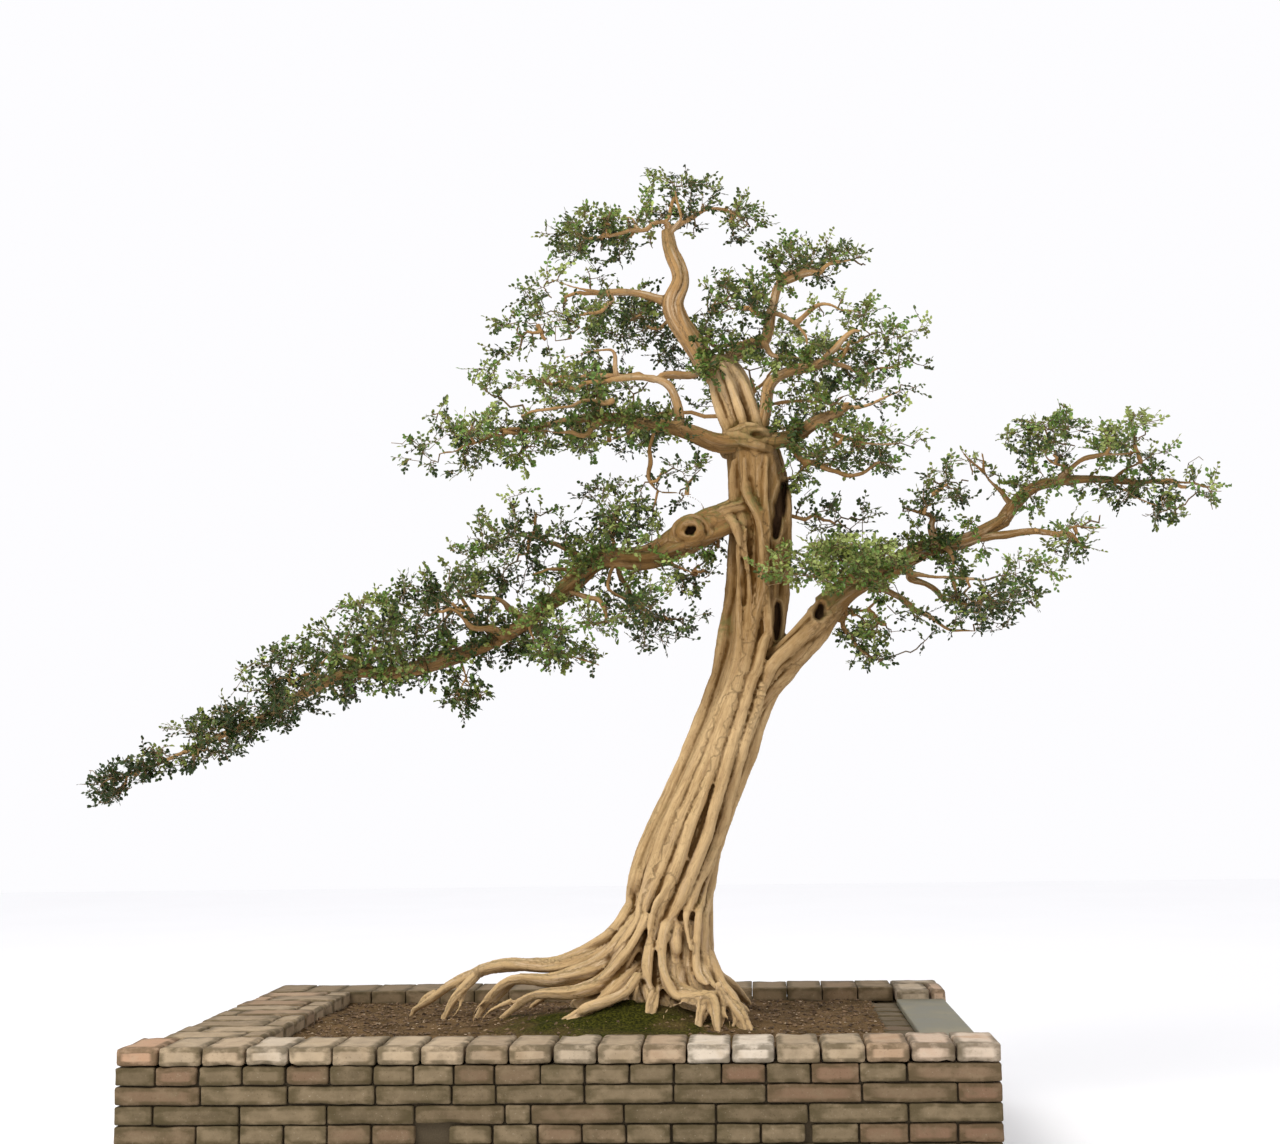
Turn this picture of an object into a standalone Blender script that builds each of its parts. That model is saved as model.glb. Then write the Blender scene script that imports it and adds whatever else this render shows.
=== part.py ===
"""A landscape bonsai with a leaning, sinewy trunk, in a planter of dry-laid bricks.

Metres, +Z up.  The origin is the centre of the planter's flat underside, +X is the tree's right and
+Y its back.  Each mass of foliage is one solid: a stem, its twigs, and leaf blades that each stand
for a spray of small leaves.
"""
import math
import random

import bmesh
import bpy
from mathutils import Matrix, Vector
from mathutils.bvhtree import BVHTree

# ---- driving dimensions -------------------------------------------------------------------------
CLEAR = 0.0003              # gap between pieces that lie against each other
BRICK_LONG = 0.242          # a stretcher and its joint
BRICK_WIDE = 0.121          # a header and its joint
COURSE = 0.0525             # a brick's height and its joint
JOINT_DEEP = 0.006          # how far the rounded arrises leave a joint open
JOINT_HALF = 0.004          # half the width of that joint
PLANTER_LONG = 10 * BRICK_LONG
PLANTER_DEEP = 7 * BRICK_LONG
WALL_COURSES = 6            # between the floor course and the coping
FRONT_WALL = BRICK_LONG
BACK_WALL = BRICK_LONG
LEFT_WALL = BRICK_LONG + BRICK_WIDE
RIGHT_WALL = 0.28
COPING_PROUD = 0.006        # how much longer the front coping is than the wall under it
BACK_PROUD = 0.010          # how far the back coping stands out behind
SETBACK = 0.06              # from the left face to where the back and left copings start
LEFT_SHIFT = 0.05           # from the left face to the outer edge of the left coping
BACK_BRICKS = 18
LEFT_ROWS = 9
CORNER_FRONT = 0.50         # where the corner bricks start, and the slab ends
CORNER_INSET = 0.01
SLAB_INSET = (0.10, 0.02)   # from the soil's side and from the right face
SLAB_THICK = 0.022
SOIL_EDGE = 0.374           # height of the soil against the walls
SOIL_TOP = 0.395            # height of the level soil under the roots
GROUND = SOIL_TOP + CLEAR   # the trunk's flat cut

TRUNK_VOXEL = 0.013
TRUNK_FACES = 2350
STRANDS = 11                # fused sinews that make up the trunk
STRAND_RADIUS = 0.031
STRAND_FOOT, STRAND_TOP, STRAND_STEPS = 0.45, 2.20, 14
STRAND_TWIST = 0.35         # radians round the trunk for each metre up it
STRAND_SWAY = 0.25
LIMB_SIDES = 2              # bevel resolution of a limb's section
LIMB_SPANS = 2              # pieces between two control points of a limb
LEAF_LONG = 0.150           # a blade that stands for one spray
LEAF_WIDE = 0.088
LEAF_THICK = 0.012
LEAF_SUNK = 0.005           # how far past its twig's middle a blade's root reaches
TWIG_RADIUS = 0.0080
SMALLEST_SEAT = 1.2e-4      # area of a facet that a stem can stand on
STEM_RADIUS = 0.0110
SHORTEST_STEM = 0.022       # from the limb's skin to the stem's elbow
STEM_SHARE = 0.22           # the elbow's place on the way to the middle of the mass
HEART_SHARE = 0.25          # how far short of the middle the stem ends
SHORTEST_TWIG = 0.03
TWIG_SUNK = 0.004           # how far a twig's foot reaches past the line it grows from
STEM_SUNK = 0.008
SPRAYS = 4                  # twigs in a mass, each with its blades
SEED = 11

# ---- the trunk and its roots: (x, y, z, radius) --------------------------------------------------
TRUNK_SPINE = [
    (0.285, 0.01, 0.36, 0.135), (0.292, 0.00, 0.60, 0.134), (0.294, 0.00, 0.80, 0.137),
    (0.350, -0.01, 0.98, 0.124), (0.458, -0.02, 1.22, 0.118), (0.545, -0.01, 1.46, 0.109),
    (0.585, 0.00, 1.73, 0.101), (0.604, 0.00, 1.98, 0.102), (0.586, 0.00, 2.18, 0.092),
    (0.545, 0.00, 2.30, 0.072), (0.510, 0.00, 2.42, 0.070), (0.470, 0.00, 2.50, 0.050),
]
WHORL = (0.572, 0.00, 2.228, 0.105)         # the swollen ring where four boughs leave
FORK = [                                    # the trunk's side of the fork with the right bough
    (0.560, -0.01, 1.370, 0.046), (0.650, -0.03, 1.495, 0.056), (0.745, -0.04, 1.592, 0.056),
    (0.830, -0.04, 1.695, 0.052),
]
ELBOW = [                                   # and with the left bough
    (0.600, 0.00, 1.945, 0.052), (0.545, -0.02, 1.985, 0.054), (0.475, -0.04, 1.962, 0.055),
]

ROOTS = {
    "long_left": [
        (0.23, -0.02, 0.76, 0.046), (0.10, -0.02, 0.632, 0.040), (-0.06, -0.02, 0.562, 0.036),
        (-0.25, 0.05, 0.558, 0.032), (-0.41, 0.12, 0.492, 0.027), (-0.56, 0.19, 0.400, 0.017),
    ],
    "long_left_toe": [
        (-0.32, 0.08, 0.535, 0.024), (-0.40, 0.05, 0.460, 0.020), (-0.44, 0.04, 0.39, 0.016),
    ],
    "left_ridge": [
        (0.21, -0.06, 0.74, 0.045), (0.10, -0.09, 0.585, 0.038), (-0.05, -0.10, 0.524, 0.032),
        (-0.20, -0.07, 0.522, 0.028), (-0.28, -0.03, 0.460, 0.023), (-0.33, 0.00, 0.39, 0.016),
    ],
    "left_front": [
        (0.22, -0.09, 0.70, 0.044), (0.12, -0.14, 0.540, 0.034), (0.00, -0.18, 0.489, 0.029),
        (-0.13, -0.17, 0.480, 0.023), (-0.23, -0.14, 0.41, 0.016),
    ],
    "blunt": [
        (0.20, -0.10, 0.58, 0.040), (0.10, -0.20, 0.465, 0.037), (0.03, -0.25, 0.430, 0.033),
        (-0.02, -0.27, 0.408, 0.026),
    ],
    "middle": [
        (0.24, -0.08, 0.70, 0.044), (0.23, -0.16, 0.530, 0.037), (0.24, -0.24, 0.460, 0.026),
        (0.23, -0.29, 0.40, 0.018),
    ],
    "bow": [
        (0.30, -0.09, 0.70, 0.046), (0.30, -0.18, 0.520, 0.038), (0.36, -0.26, 0.480, 0.031),
        (0.42, -0.29, 0.475, 0.025), (0.44, -0.35, 0.39, 0.015),
    ],
    "bow_toe": [
        (0.40, -0.27, 0.480, 0.020), (0.385, -0.31, 0.435, 0.016), (0.38, -0.34, 0.39, 0.013),
    ],
    "right_front": [
        (0.36, -0.06, 0.66, 0.044), (0.43, -0.16, 0.515, 0.037), (0.48, -0.23, 0.475, 0.028),
        (0.51, -0.27, 0.445, 0.022), (0.54, -0.32, 0.39, 0.015),
    ],
    "right_toe": [
        (0.46, -0.21, 0.480, 0.020), (0.50, -0.28, 0.430, 0.016), (0.515, -0.31, 0.39, 0.013),
    ],
    "right": [
        (0.35, 0.02, 0.64, 0.046), (0.40, 0.06, 0.510, 0.036), (0.46, 0.11, 0.440, 0.027),
        (0.52, 0.15, 0.39, 0.018),
    ],
    "back_right": [
        (0.35, 0.08, 0.68, 0.046), (0.41, 0.19, 0.520, 0.038), (0.48, 0.31, 0.455, 0.029),
        (0.53, 0.42, 0.39, 0.017),
    ],
    "back": [
        (0.27, 0.08, 0.70, 0.046), (0.25, 0.20, 0.530, 0.038), (0.27, 0.33, 0.470, 0.030),
        (0.24, 0.45, 0.39, 0.017),
    ],
    "back_left": [
        (0.20, 0.06, 0.72, 0.046), (0.08, 0.16, 0.550, 0.038), (-0.04, 0.27, 0.490, 0.030),
        (-0.19, 0.36, 0.39, 0.018),
    ],
}

# ---- the boughs: what each grows from, and (x, y, z, radius) along it -----------------------------
LIMBS = {
    "left_bough_inner": ("trunk", [
        (0.490, -0.04, 1.965, 0.053), (0.418, -0.06, 1.933, 0.058), (0.350, -0.07, 1.897, 0.054),
        (0.235, -0.08, 1.842, 0.040), (0.085, -0.06, 1.838, 0.035), (0.010, -0.06, 1.780, 0.033),
        (-0.060, -0.05, 1.716, 0.029),
    ]),
    "left_bough_outer": ("left_bough_inner", [
        (-0.050, -0.05, 1.722, 0.028), (-0.210, -0.05, 1.612, 0.026), (-0.370, -0.08, 1.538, 0.026),
        (-0.560, -0.10, 1.488, 0.022), (-0.740, -0.10, 1.480, 0.018), (-1.020, -0.08, 1.346, 0.014),
        (-1.260, -0.06, 1.245, 0.009), (-1.355, -0.06, 1.205, 0.007),
    ]),
    "right_bough_inner": ("trunk", [
        (0.800, -0.04, 1.665, 0.050), (0.890, -0.03, 1.745, 0.046), (1.010, -0.01, 1.800, 0.035),
        (1.130, 0.00, 1.862, 0.031),
        (1.260, 0.00, 1.886, 0.027), (1.385, 0.00, 1.952, 0.026),
    ]),
    "right_bough_outer": ("right_bough_inner", [
        (1.375, 0.00, 1.945, 0.024), (1.423, 0.00, 2.008, 0.021), (1.500, 0.01, 2.060, 0.019),
        (1.657, 0.03, 2.079, 0.015), (1.800, 0.04, 2.068, 0.012), (1.880, 0.04, 2.070, 0.009),
    ]),
    "mid_left_bough": ("trunk", [
        (0.556, -0.03, 2.225, 0.037), (0.470, -0.05, 2.212, 0.033), (0.352, -0.08, 2.254, 0.027),
        (0.220, -0.08, 2.276, 0.021), (0.137, -0.08, 2.295, 0.018), (0.000, -0.10, 2.290, 0.013),
        (-0.130, -0.11, 2.258, 0.009),
    ]),
    "mid_right_bough": ("trunk", [
        (0.600, -0.02, 2.220, 0.031), (0.701, -0.04, 2.226, 0.027), (0.790, -0.06, 2.272, 0.020),
        (0.870, -0.07, 2.302, 0.014),
    ]),
    "upper_right_bough": ("trunk", [
        (0.600, -0.02, 2.215, 0.025), (0.624, -0.03, 2.320, 0.023), (0.640, -0.04, 2.402, 0.023),
        (0.700, -0.05, 2.440, 0.020), (0.770, -0.05, 2.453, 0.018), (0.830, -0.04, 2.470, 0.014),
    ]),
    "leader": ("trunk", [
        (0.480, 0.02, 2.420, 0.040), (0.400, 0.03, 2.550, 0.037), (0.330, 0.01, 2.675, 0.037),
        (0.355, 0.00, 2.770, 0.030), (0.325, 0.00, 2.870, 0.027), (0.315, 0.00, 2.935, 0.022),
    ]),
    "crown_right_bough": ("trunk", [
        (0.470, 0.03, 2.470, 0.024), (0.563, 0.06, 2.550, 0.023), (0.630, 0.07, 2.580, 0.022),
        (0.658, 0.08, 2.690, 0.017), (0.690, 0.08, 2.785, 0.015), (0.745, 0.08, 2.803, 0.012),
    ]),
    "upper_left_bough": ("leader", [
        (0.345, 0.01, 2.685, 0.020), (0.271, 0.00, 2.708, 0.018), (0.190, -0.02, 2.724, 0.015),
        (0.090, -0.03, 2.722, 0.012),
    ]),
    "fourth_left_bough": ("mid_left_bough", [
        (0.352, -0.08, 2.250, 0.018), (0.342, -0.08, 2.330, 0.017), (0.310, -0.10, 2.398, 0.015),
        (0.230, -0.12, 2.418, 0.013), (0.130, -0.13, 2.409, 0.010),
    ]),
    "back_bough": ("trunk", [
        (0.570, 0.03, 2.225, 0.033), (0.560, 0.13, 2.250, 0.027), (0.520, 0.24, 2.330, 0.020),
        (0.555, 0.31, 2.400, 0.014),
    ]),
}

# ---- the masses of foliage: centre, half sizes, rise per metre to the right, and parent limb -------
MASSES = {
    "apex_top": ((0.35, 0.00, 3.07), (0.15, 0.23, 0.115), 0.00, "leader"),
    "apex_left": ((0.10, -0.03, 2.92), (0.19, 0.25, 0.089), 0.12, "leader"),
    "apex_right": ((0.52, 0.03, 2.96), (0.14, 0.22, 0.078), 0.00, "leader"),
    "upper_left": ((-0.03, -0.08, 2.70), (0.19, 0.28, 0.116), 0.00, "upper_left_bough"),
    "upper_back": ((0.22, 0.30, 2.67), (0.26, 0.24, 0.160), 0.00, "leader"),
    "third_left": ((-0.07, -0.16, 2.53), (0.22, 0.27, 0.086), 0.00, "leader"),
    "fourth_left": ((-0.09, -0.20, 2.38), (0.23, 0.29, 0.079), 0.00, "fourth_left_bough"),
    "lower_left_pad": ((-0.32, -0.13, 2.22), (0.23, 0.30, 0.094), 0.20, "mid_left_bough"),
    "mid_left_top": ((0.11, 0.02, 2.29), (0.20, 0.24, 0.103), 0.00, "mid_left_bough"),
    "hanging": ((0.37, -0.03, 2.09), (0.12, 0.15, 0.097), 0.00, "mid_left_bough"),
    "back_left": ((0.06, 0.36, 2.42), (0.28, 0.26, 0.160), 0.00, "back_bough"),
    "back_crown": ((0.66, 0.40, 2.54), (0.28, 0.25, 0.200), 0.00, "back_bough"),
    "crown_right_tip": ((0.80, 0.06, 2.84), (0.24, 0.24, 0.080), 0.00, "crown_right_bough"),
    "crown_right_side": ((0.55, 0.02, 2.68), (0.15, 0.24, 0.117), 0.00, "crown_right_bough"),
    "upper_right": ((0.92, 0.02, 2.57), (0.22, 0.28, 0.138), 0.00, "upper_right_bough"),
    "mid_right": ((0.89, -0.12, 2.32), (0.21, 0.26, 0.085), 0.10, "mid_right_bough"),
    "low_right": ((0.92, -0.13, 2.17), (0.21, 0.26, 0.081), 0.00, "trunk"),
    "back_hanging": ((0.86, 0.18, 1.98), (0.15, 0.19, 0.119), 0.00, "trunk"),
    "left_elbow_top": ((0.13, 0.00, 2.00), (0.16, 0.26, 0.127), 0.00, "left_bough_inner"),
    "left_mid_top": ((-0.15, -0.02, 1.89), (0.19, 0.28, 0.164), 0.00, "left_bough_inner"),
    "left_third_top": ((-0.41, -0.06, 1.72), (0.16, 0.28, 0.161), 0.20, "left_bough_outer"),
    "left_fourth": ((-0.64, -0.10, 1.57), (0.21, 0.30, 0.166), 0.25, "left_bough_outer"),
    "left_fifth": ((-0.91, -0.10, 1.45), (0.21, 0.27, 0.133), 0.30, "left_bough_outer"),
    "left_sixth": ((-1.18, -0.08, 1.29), (0.23, 0.22, 0.091), 0.36, "left_bough_outer"),
    "left_tip": ((-1.47, -0.06, 1.16), (0.12, 0.15, 0.067), 0.35, "left_bough_outer"),
    "left_under_inner": ((-0.07, -0.08, 1.60), (0.22, 0.27, 0.109), 0.10, "left_bough_inner"),
    "left_under_near": ((0.25, -0.08, 1.66), (0.17, 0.27, 0.117), 0.00, "left_bough_inner"),
    "left_trunk_side": ((0.38, -0.02, 1.80), (0.10, 0.18, 0.078), 0.00, "left_bough_inner"),
    "right_front": ((0.82, -0.22, 1.79), (0.23, 0.18, 0.083), 0.00, "right_bough_inner"),
    "right_inner_under": ((1.01, 0.04, 1.61), (0.16, 0.25, 0.107), 0.00, "right_bough_inner"),
    "right_under_outer": ((1.33, -0.02, 1.70), (0.21, 0.29, 0.107), 0.30, "right_bough_inner"),
    "right_top": ((1.21, -0.02, 2.07), (0.17, 0.27, 0.092), 0.45, "right_bough_inner"),
    "right_outer_a": ((1.54, -0.01, 2.21), (0.15, 0.26, 0.090), 0.00, "right_bough_outer"),
    "right_outer_b": ((1.81, 0.04, 2.20), (0.15, 0.23, 0.091), 0.00, "right_bough_outer"),
    "right_tip": ((1.99, 0.04, 2.04), (0.14, 0.18, 0.084), 0.30, "right_bough_outer"),
    "right_side": ((1.60, -0.05, 1.89), (0.15, 0.23, 0.085), 0.00, "right_bough_inner"),
}
TIP_MASSES = {
    "apex_top", "upper_left", "fourth_left", "lower_left_pad", "crown_right_tip", "upper_right",
    "mid_right", "back_crown", "left_tip", "right_tip",
}


# ---- scene, collections and materials --------------------------------------------------------------
for old in list(bpy.data.objects):
    bpy.data.objects.remove(old, do_unlink=True)

BONSAI = bpy.data.collections.new("bonsai")
SCRATCH = bpy.data.collections.new("scratch")
for group in (BONSAI, SCRATCH):
    bpy.context.scene.collection.children.link(group)


def finish(name, colour, roughness):
    """A Principled material."""
    material = bpy.data.materials.new(name)
    material.use_nodes = True
    shader = material.node_tree.nodes["Principled BSDF"]
    shader.inputs["Base Color"].default_value = (*colour, 1.0)
    shader.inputs["Roughness"].default_value = roughness
    shader.inputs["Metallic"].default_value = 0.0
    return material


BARK = finish("bark", (0.52, 0.36, 0.19), 0.75)
YOUNG_BARK = finish("young_bark", (0.42, 0.23, 0.11), 0.75)
LEAF = finish("leaf", (0.10, 0.20, 0.06), 0.45)
BRICK = finish("brick", (0.27, 0.22, 0.17), 0.90)
COPING = finish("coping_brick", (0.36, 0.30, 0.24), 0.90)
SLATE = finish("slate", (0.20, 0.20, 0.18), 0.80)
SOIL = finish("soil", (0.12, 0.07, 0.05), 1.00)


def new_object(name, data, material, group=BONSAI):
    """An object of this mesh or curve, in its collection and with its one material."""
    made = bpy.data.objects.new(name, data)
    group.objects.link(made)
    data.materials.append(material)
    return made


def settle(made, weld=True):
    """Applies the object's modifiers, or turns a curve into a mesh with its caps welded on."""
    graph = bpy.context.evaluated_depsgraph_get()
    mesh = bpy.data.meshes.new_from_object(made.evaluated_get(graph))
    mesh.transform(made.matrix_world)
    if made.matrix_world.determinant() < 0:
        mesh.flip_normals()
    if weld:
        work = bmesh.new()
        work.from_mesh(mesh)
        bmesh.ops.remove_doubles(work, verts=work.verts, dist=1e-6)
        work.to_mesh(mesh)
        work.free()
    group, name = made.users_collection[0], made.name
    bpy.data.objects.remove(made, do_unlink=True)
    settled = bpy.data.objects.new(name, mesh)
    group.objects.link(settled)
    bpy.context.view_layer.update()
    return settled


def largest_piece(made):
    """Keeps the mesh's largest closed shell: sealed hollows and loose scraps are dropped."""
    work = bmesh.new()
    work.from_mesh(made.data)
    seen, shells = set(), []
    for start in work.verts:
        if start in seen:
            continue
        shell, front = [start], [start]
        seen.add(start)
        while front:
            for edge in front.pop().link_edges:
                for vert in edge.verts:
                    if vert not in seen:
                        seen.add(vert)
                        shell.append(vert)
                        front.append(vert)
        shells.append(shell)
    shells.sort(key=len)
    for scrap in shells[:-1]:
        bmesh.ops.delete(work, geom=scrap, context="VERTS")
    work.to_mesh(made.data)
    work.free()


# ---- the planter -----------------------------------------------------------------------------------
def brick_section(rows, pitch, width, foot=0.0, far_side=False):
    """Corners of a row of bricks seen on end: each joint is a small V on the side that shows."""
    side = [(0.0, foot)]
    for row in range(1, rows):
        joint = foot + row * pitch
        side += [(0.0, joint - JOINT_HALF), (JOINT_DEEP, joint), (0.0, joint + JOINT_HALF)]
    corners = side + [(0.0, foot + rows * pitch), (width, foot + rows * pitch), (width, foot)]
    return [(width - across, along) for across, along in corners] if far_side else corners


def flat_solid(name, corners, thick, material, turn, shift):
    """A flat outline extruded evenly to both sides, then turned and moved to its place."""
    curve = bpy.data.curves.new(name, "CURVE")
    curve.dimensions = "2D"
    curve.fill_mode = "BOTH"
    curve.extrude = thick / 2
    spline = curve.splines.new("POLY")
    spline.points.add(len(corners) - 1)
    for point, (across, up) in zip(spline.points, corners):
        point.co = (across, up, 0.0, 1.0)
    spline.use_cyclic_u = True
    made = new_object(name, curve, material)
    made.matrix_world = Matrix.Translation(shift) @ turn
    return settle(made)


def box(name, low, high, material, bevel):
    """A block with softened edges, between two corners."""
    mesh = bpy.data.meshes.new(name)
    work = bmesh.new()
    size = Vector(high) - Vector(low)
    middle = (Vector(high) + Vector(low)) / 2
    bmesh.ops.create_cube(work, size=1.0, matrix=Matrix.Translation(middle) @ Matrix.Diagonal((*size, 1.0)))
    bmesh.ops.bevel(work, geom=work.edges[:], offset=bevel, segments=1, affect="EDGES")
    work.to_mesh(mesh)
    work.free()
    return new_object(name, mesh, material)


ALONG_X = Matrix(((0, 0, 1, 0), (1, 0, 0, 0), (0, 1, 0, 0), (0, 0, 0, 1)))     # section in Y-Z
ALONG_Y = Matrix(((1, 0, 0, 0), (0, 0, -1, 0), (0, 1, 0, 0), (0, 0, 0, 1)))    # section in X-Z
ROW_ON_X = Matrix(((0, 1, 0, 0), (0, 0, 1, 0), (1, 0, 0, 0), (0, 0, 0, 1)))    # rows run along X
ROW_ON_Y = Matrix(((0, 0, 1, 0), (0, 1, 0, 0), (1, 0, 0, 0), (0, 0, 0, 1)))    # rows run along Y


def planter():
    """The floor course, four walls, three copings, the slab and corner bricks, and the soil."""
    left, right = -PLANTER_LONG / 2, PLANTER_LONG / 2
    front, back = -PLANTER_DEEP / 2, PLANTER_DEEP / 2
    wall_foot = COURSE + CLEAR
    wall_top = (1 + WALL_COURSES) * COURSE
    coping_foot = wall_top + CLEAR
    rim = wall_top + COURSE
    box("floor_course", (left, front, 0.0), (right, back, COURSE), BRICK, 0.003)

    rows = dict(rows=WALL_COURSES, pitch=COURSE, foot=0.0)
    stack = Vector((0.0, 0.0, wall_foot))
    squash = Matrix.Diagonal((1.0, 1.0, (wall_top - wall_foot) / (WALL_COURSES * COURSE), 1.0))
    flat_solid("wall_front", brick_section(width=FRONT_WALL, **rows), PLANTER_LONG, BRICK,
               squash @ ALONG_X, stack + Vector((0.0, front, 0.0)))
    flat_solid("wall_back", brick_section(width=BACK_WALL, far_side=True, **rows), PLANTER_LONG, BRICK,
               squash @ ALONG_X, stack + Vector((0.0, back - BACK_WALL, 0.0)))
    between = PLANTER_DEEP - FRONT_WALL - BACK_WALL - 2 * CLEAR
    inner_y = (front + FRONT_WALL + back - BACK_WALL) / 2
    flat_solid("wall_left", brick_section(width=LEFT_WALL, **rows), between, BRICK,
               squash @ ALONG_Y, stack + Vector((left, inner_y, 0.0)))
    flat_solid("wall_right", brick_section(width=RIGHT_WALL, far_side=True, **rows), between, BRICK,
               squash @ ALONG_Y, stack + Vector((right - RIGHT_WALL, inner_y, 0.0)))

    headers = round(PLANTER_LONG / BRICK_WIDE)
    tall = rim - coping_foot
    front_row = brick_section(headers, (PLANTER_LONG + COPING_PROUD) / headers, tall, left, True)
    flat_solid("coping_front", front_row, BRICK_LONG, COPING,
               ROW_ON_X, Vector((0.0, front + BRICK_LONG / 2, coping_foot)))
    back_row = brick_section(BACK_BRICKS, BRICK_WIDE, tall, left + SETBACK, True)
    flat_solid("coping_back", back_row, BACK_WALL, COPING,
               ROW_ON_X, Vector((0.0, back - BACK_WALL / 2 + BACK_PROUD, coping_foot)))
    left_pitch = (PLANTER_DEEP - BRICK_LONG - BACK_WALL + BACK_PROUD - 3 * CLEAR) / LEFT_ROWS
    left_row = brick_section(LEFT_ROWS, left_pitch, tall, front + BRICK_LONG + CLEAR, True)
    left_wide = LEFT_WALL - SETBACK
    flat_solid("coping_left", left_row, left_wide, COPING,
               ROW_ON_Y, Vector((left + LEFT_SHIFT + left_wide / 2, 0.0, coping_foot)))

    corner_low = (left + SETBACK + BACK_BRICKS * BRICK_WIDE + 2 * CLEAR, CORNER_FRONT, coping_foot)
    box("corner_bricks", corner_low, (right - CORNER_INSET, back + BACK_PROUD, rim), COPING, 0.006)
    slab_low = (right - RIGHT_WALL + SLAB_INSET[0], front + BRICK_LONG + 2 * CLEAR, coping_foot)
    slab_high = (right - SLAB_INSET[1], CORNER_FRONT - CLEAR, coping_foot + SLAB_THICK)
    box("side_slab", slab_low, slab_high, SLATE, 0.004)
    soil(left + LEFT_WALL, right - RIGHT_WALL, front + FRONT_WALL, back - BACK_WALL, wall_foot)


def soil(left, right, front, back, foot):
    """The earth that fills the planter: level under the roots, and falling a little to the walls."""
    side_gap = 2 * CLEAR
    mesh = bpy.data.meshes.new("soil")
    work = bmesh.new()
    size = Vector((right - left - 2 * side_gap, back - front - 2 * side_gap, SOIL_EDGE - foot))
    middle = Vector(((left + right) / 2, (front + back) / 2, (SOIL_EDGE + foot) / 2))
    bmesh.ops.create_cube(work, size=1.0, matrix=Matrix.Translation(middle) @ Matrix.Diagonal((*size, 1.0)))
    top = [face for face in work.faces if face.normal.z > 0.9]
    bmesh.ops.inset_region(work, faces=top, thickness=0.09, depth=0.0)
    top = [face for face in work.faces if face.normal.z > 0.9 and face.calc_center_median().xy.length < 0.3]
    crest = max(top, key=lambda face: face.calc_area())
    bmesh.ops.translate(work, verts=crest.verts[:], vec=(0.0, 0.0, SOIL_TOP - SOIL_EDGE))
    work.to_mesh(mesh)
    work.free()
    new_object("soil", mesh, SOIL)


# ---- limbs -----------------------------------------------------------------------------------------
def smooth_path(points, per_span):
    """(place, radius) along a Catmull-Rom curve through the control points."""
    knots = [Vector(point) for point in points]
    knots = [2 * knots[0] - knots[1]] + knots + [2 * knots[-1] - knots[-2]]
    path = []
    for before, start, end, after in zip(knots, knots[1:], knots[2:], knots[3:]):
        for step in range(per_span):
            t = step / per_span
            path.append(0.5 * (2 * start + (end - before) * t
                               + (2 * before - 5 * start + 4 * end - after) * t ** 2
                               + (3 * start - before - 3 * end + after) * t ** 3))
    path.append(knots[-2])
    return [(Vector(point[:3]), point[3]) for point in path]


def tube(name, path, material, group=BONSAI):
    """A round limb that tapers along its path."""
    curve = bpy.data.curves.new(name, "CURVE")
    curve.dimensions = "3D"
    curve.bevel_depth = 1.0
    curve.bevel_resolution = LIMB_SIDES
    curve.use_fill_caps = True
    spline = curve.splines.new("POLY")
    spline.points.add(len(path) - 1)
    for point, (place, radius) in zip(spline.points, path):
        point.co = (*place, 1.0)
        point.radius = radius
    return settle(new_object(name, curve, material, group))


def spine_at(height):
    """The trunk's centre and radius at a height."""
    lower = [row for row in TRUNK_SPINE if row[2] <= height]
    higher = [row for row in TRUNK_SPINE if row[2] > height]
    below = lower[-1] if lower else TRUNK_SPINE[0]
    above = higher[0] if higher else TRUNK_SPINE[-1]
    share = 0.0 if above is below else (height - below[2]) / (above[2] - below[2])
    mixed = Vector(below).lerp(Vector(above), min(max(share, 0.0), 1.0))
    return Vector((mixed[0], mixed[1], height)), mixed[3]


def strand_path(number, chance):
    """One sinew of the trunk: it runs up the outside, wandering a little to each side."""
    turn = 2 * math.pi * number / STRANDS
    sway = chance.uniform(-STRAND_SWAY, STRAND_SWAY)
    phase = chance.uniform(0.0, 2 * math.pi)
    path = []
    for step in range(STRAND_STEPS + 1):
        height = STRAND_FOOT + (STRAND_TOP - STRAND_FOOT) * step / STRAND_STEPS
        centre, radius = spine_at(height)
        angle = turn + STRAND_TWIST * (height - STRAND_FOOT) + sway * math.sin(2.2 * height + phase)
        out = radius - STRAND_RADIUS * 0.9
        path.append((centre + Vector((out * math.cos(angle), out * math.sin(angle), 0.0)), STRAND_RADIUS))
    return path


def ball(name, place, size):
    """A swelling on the trunk, before it is fused in."""
    mesh = bpy.data.meshes.new(name)
    work = bmesh.new()
    bmesh.ops.create_icosphere(work, subdivisions=2, radius=1.0,
                               matrix=Matrix.Translation(place) @ Matrix.Diagonal((*size, 1.0)))
    work.to_mesh(mesh)
    work.free()
    return new_object(name, mesh, BARK, SCRATCH)


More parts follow.
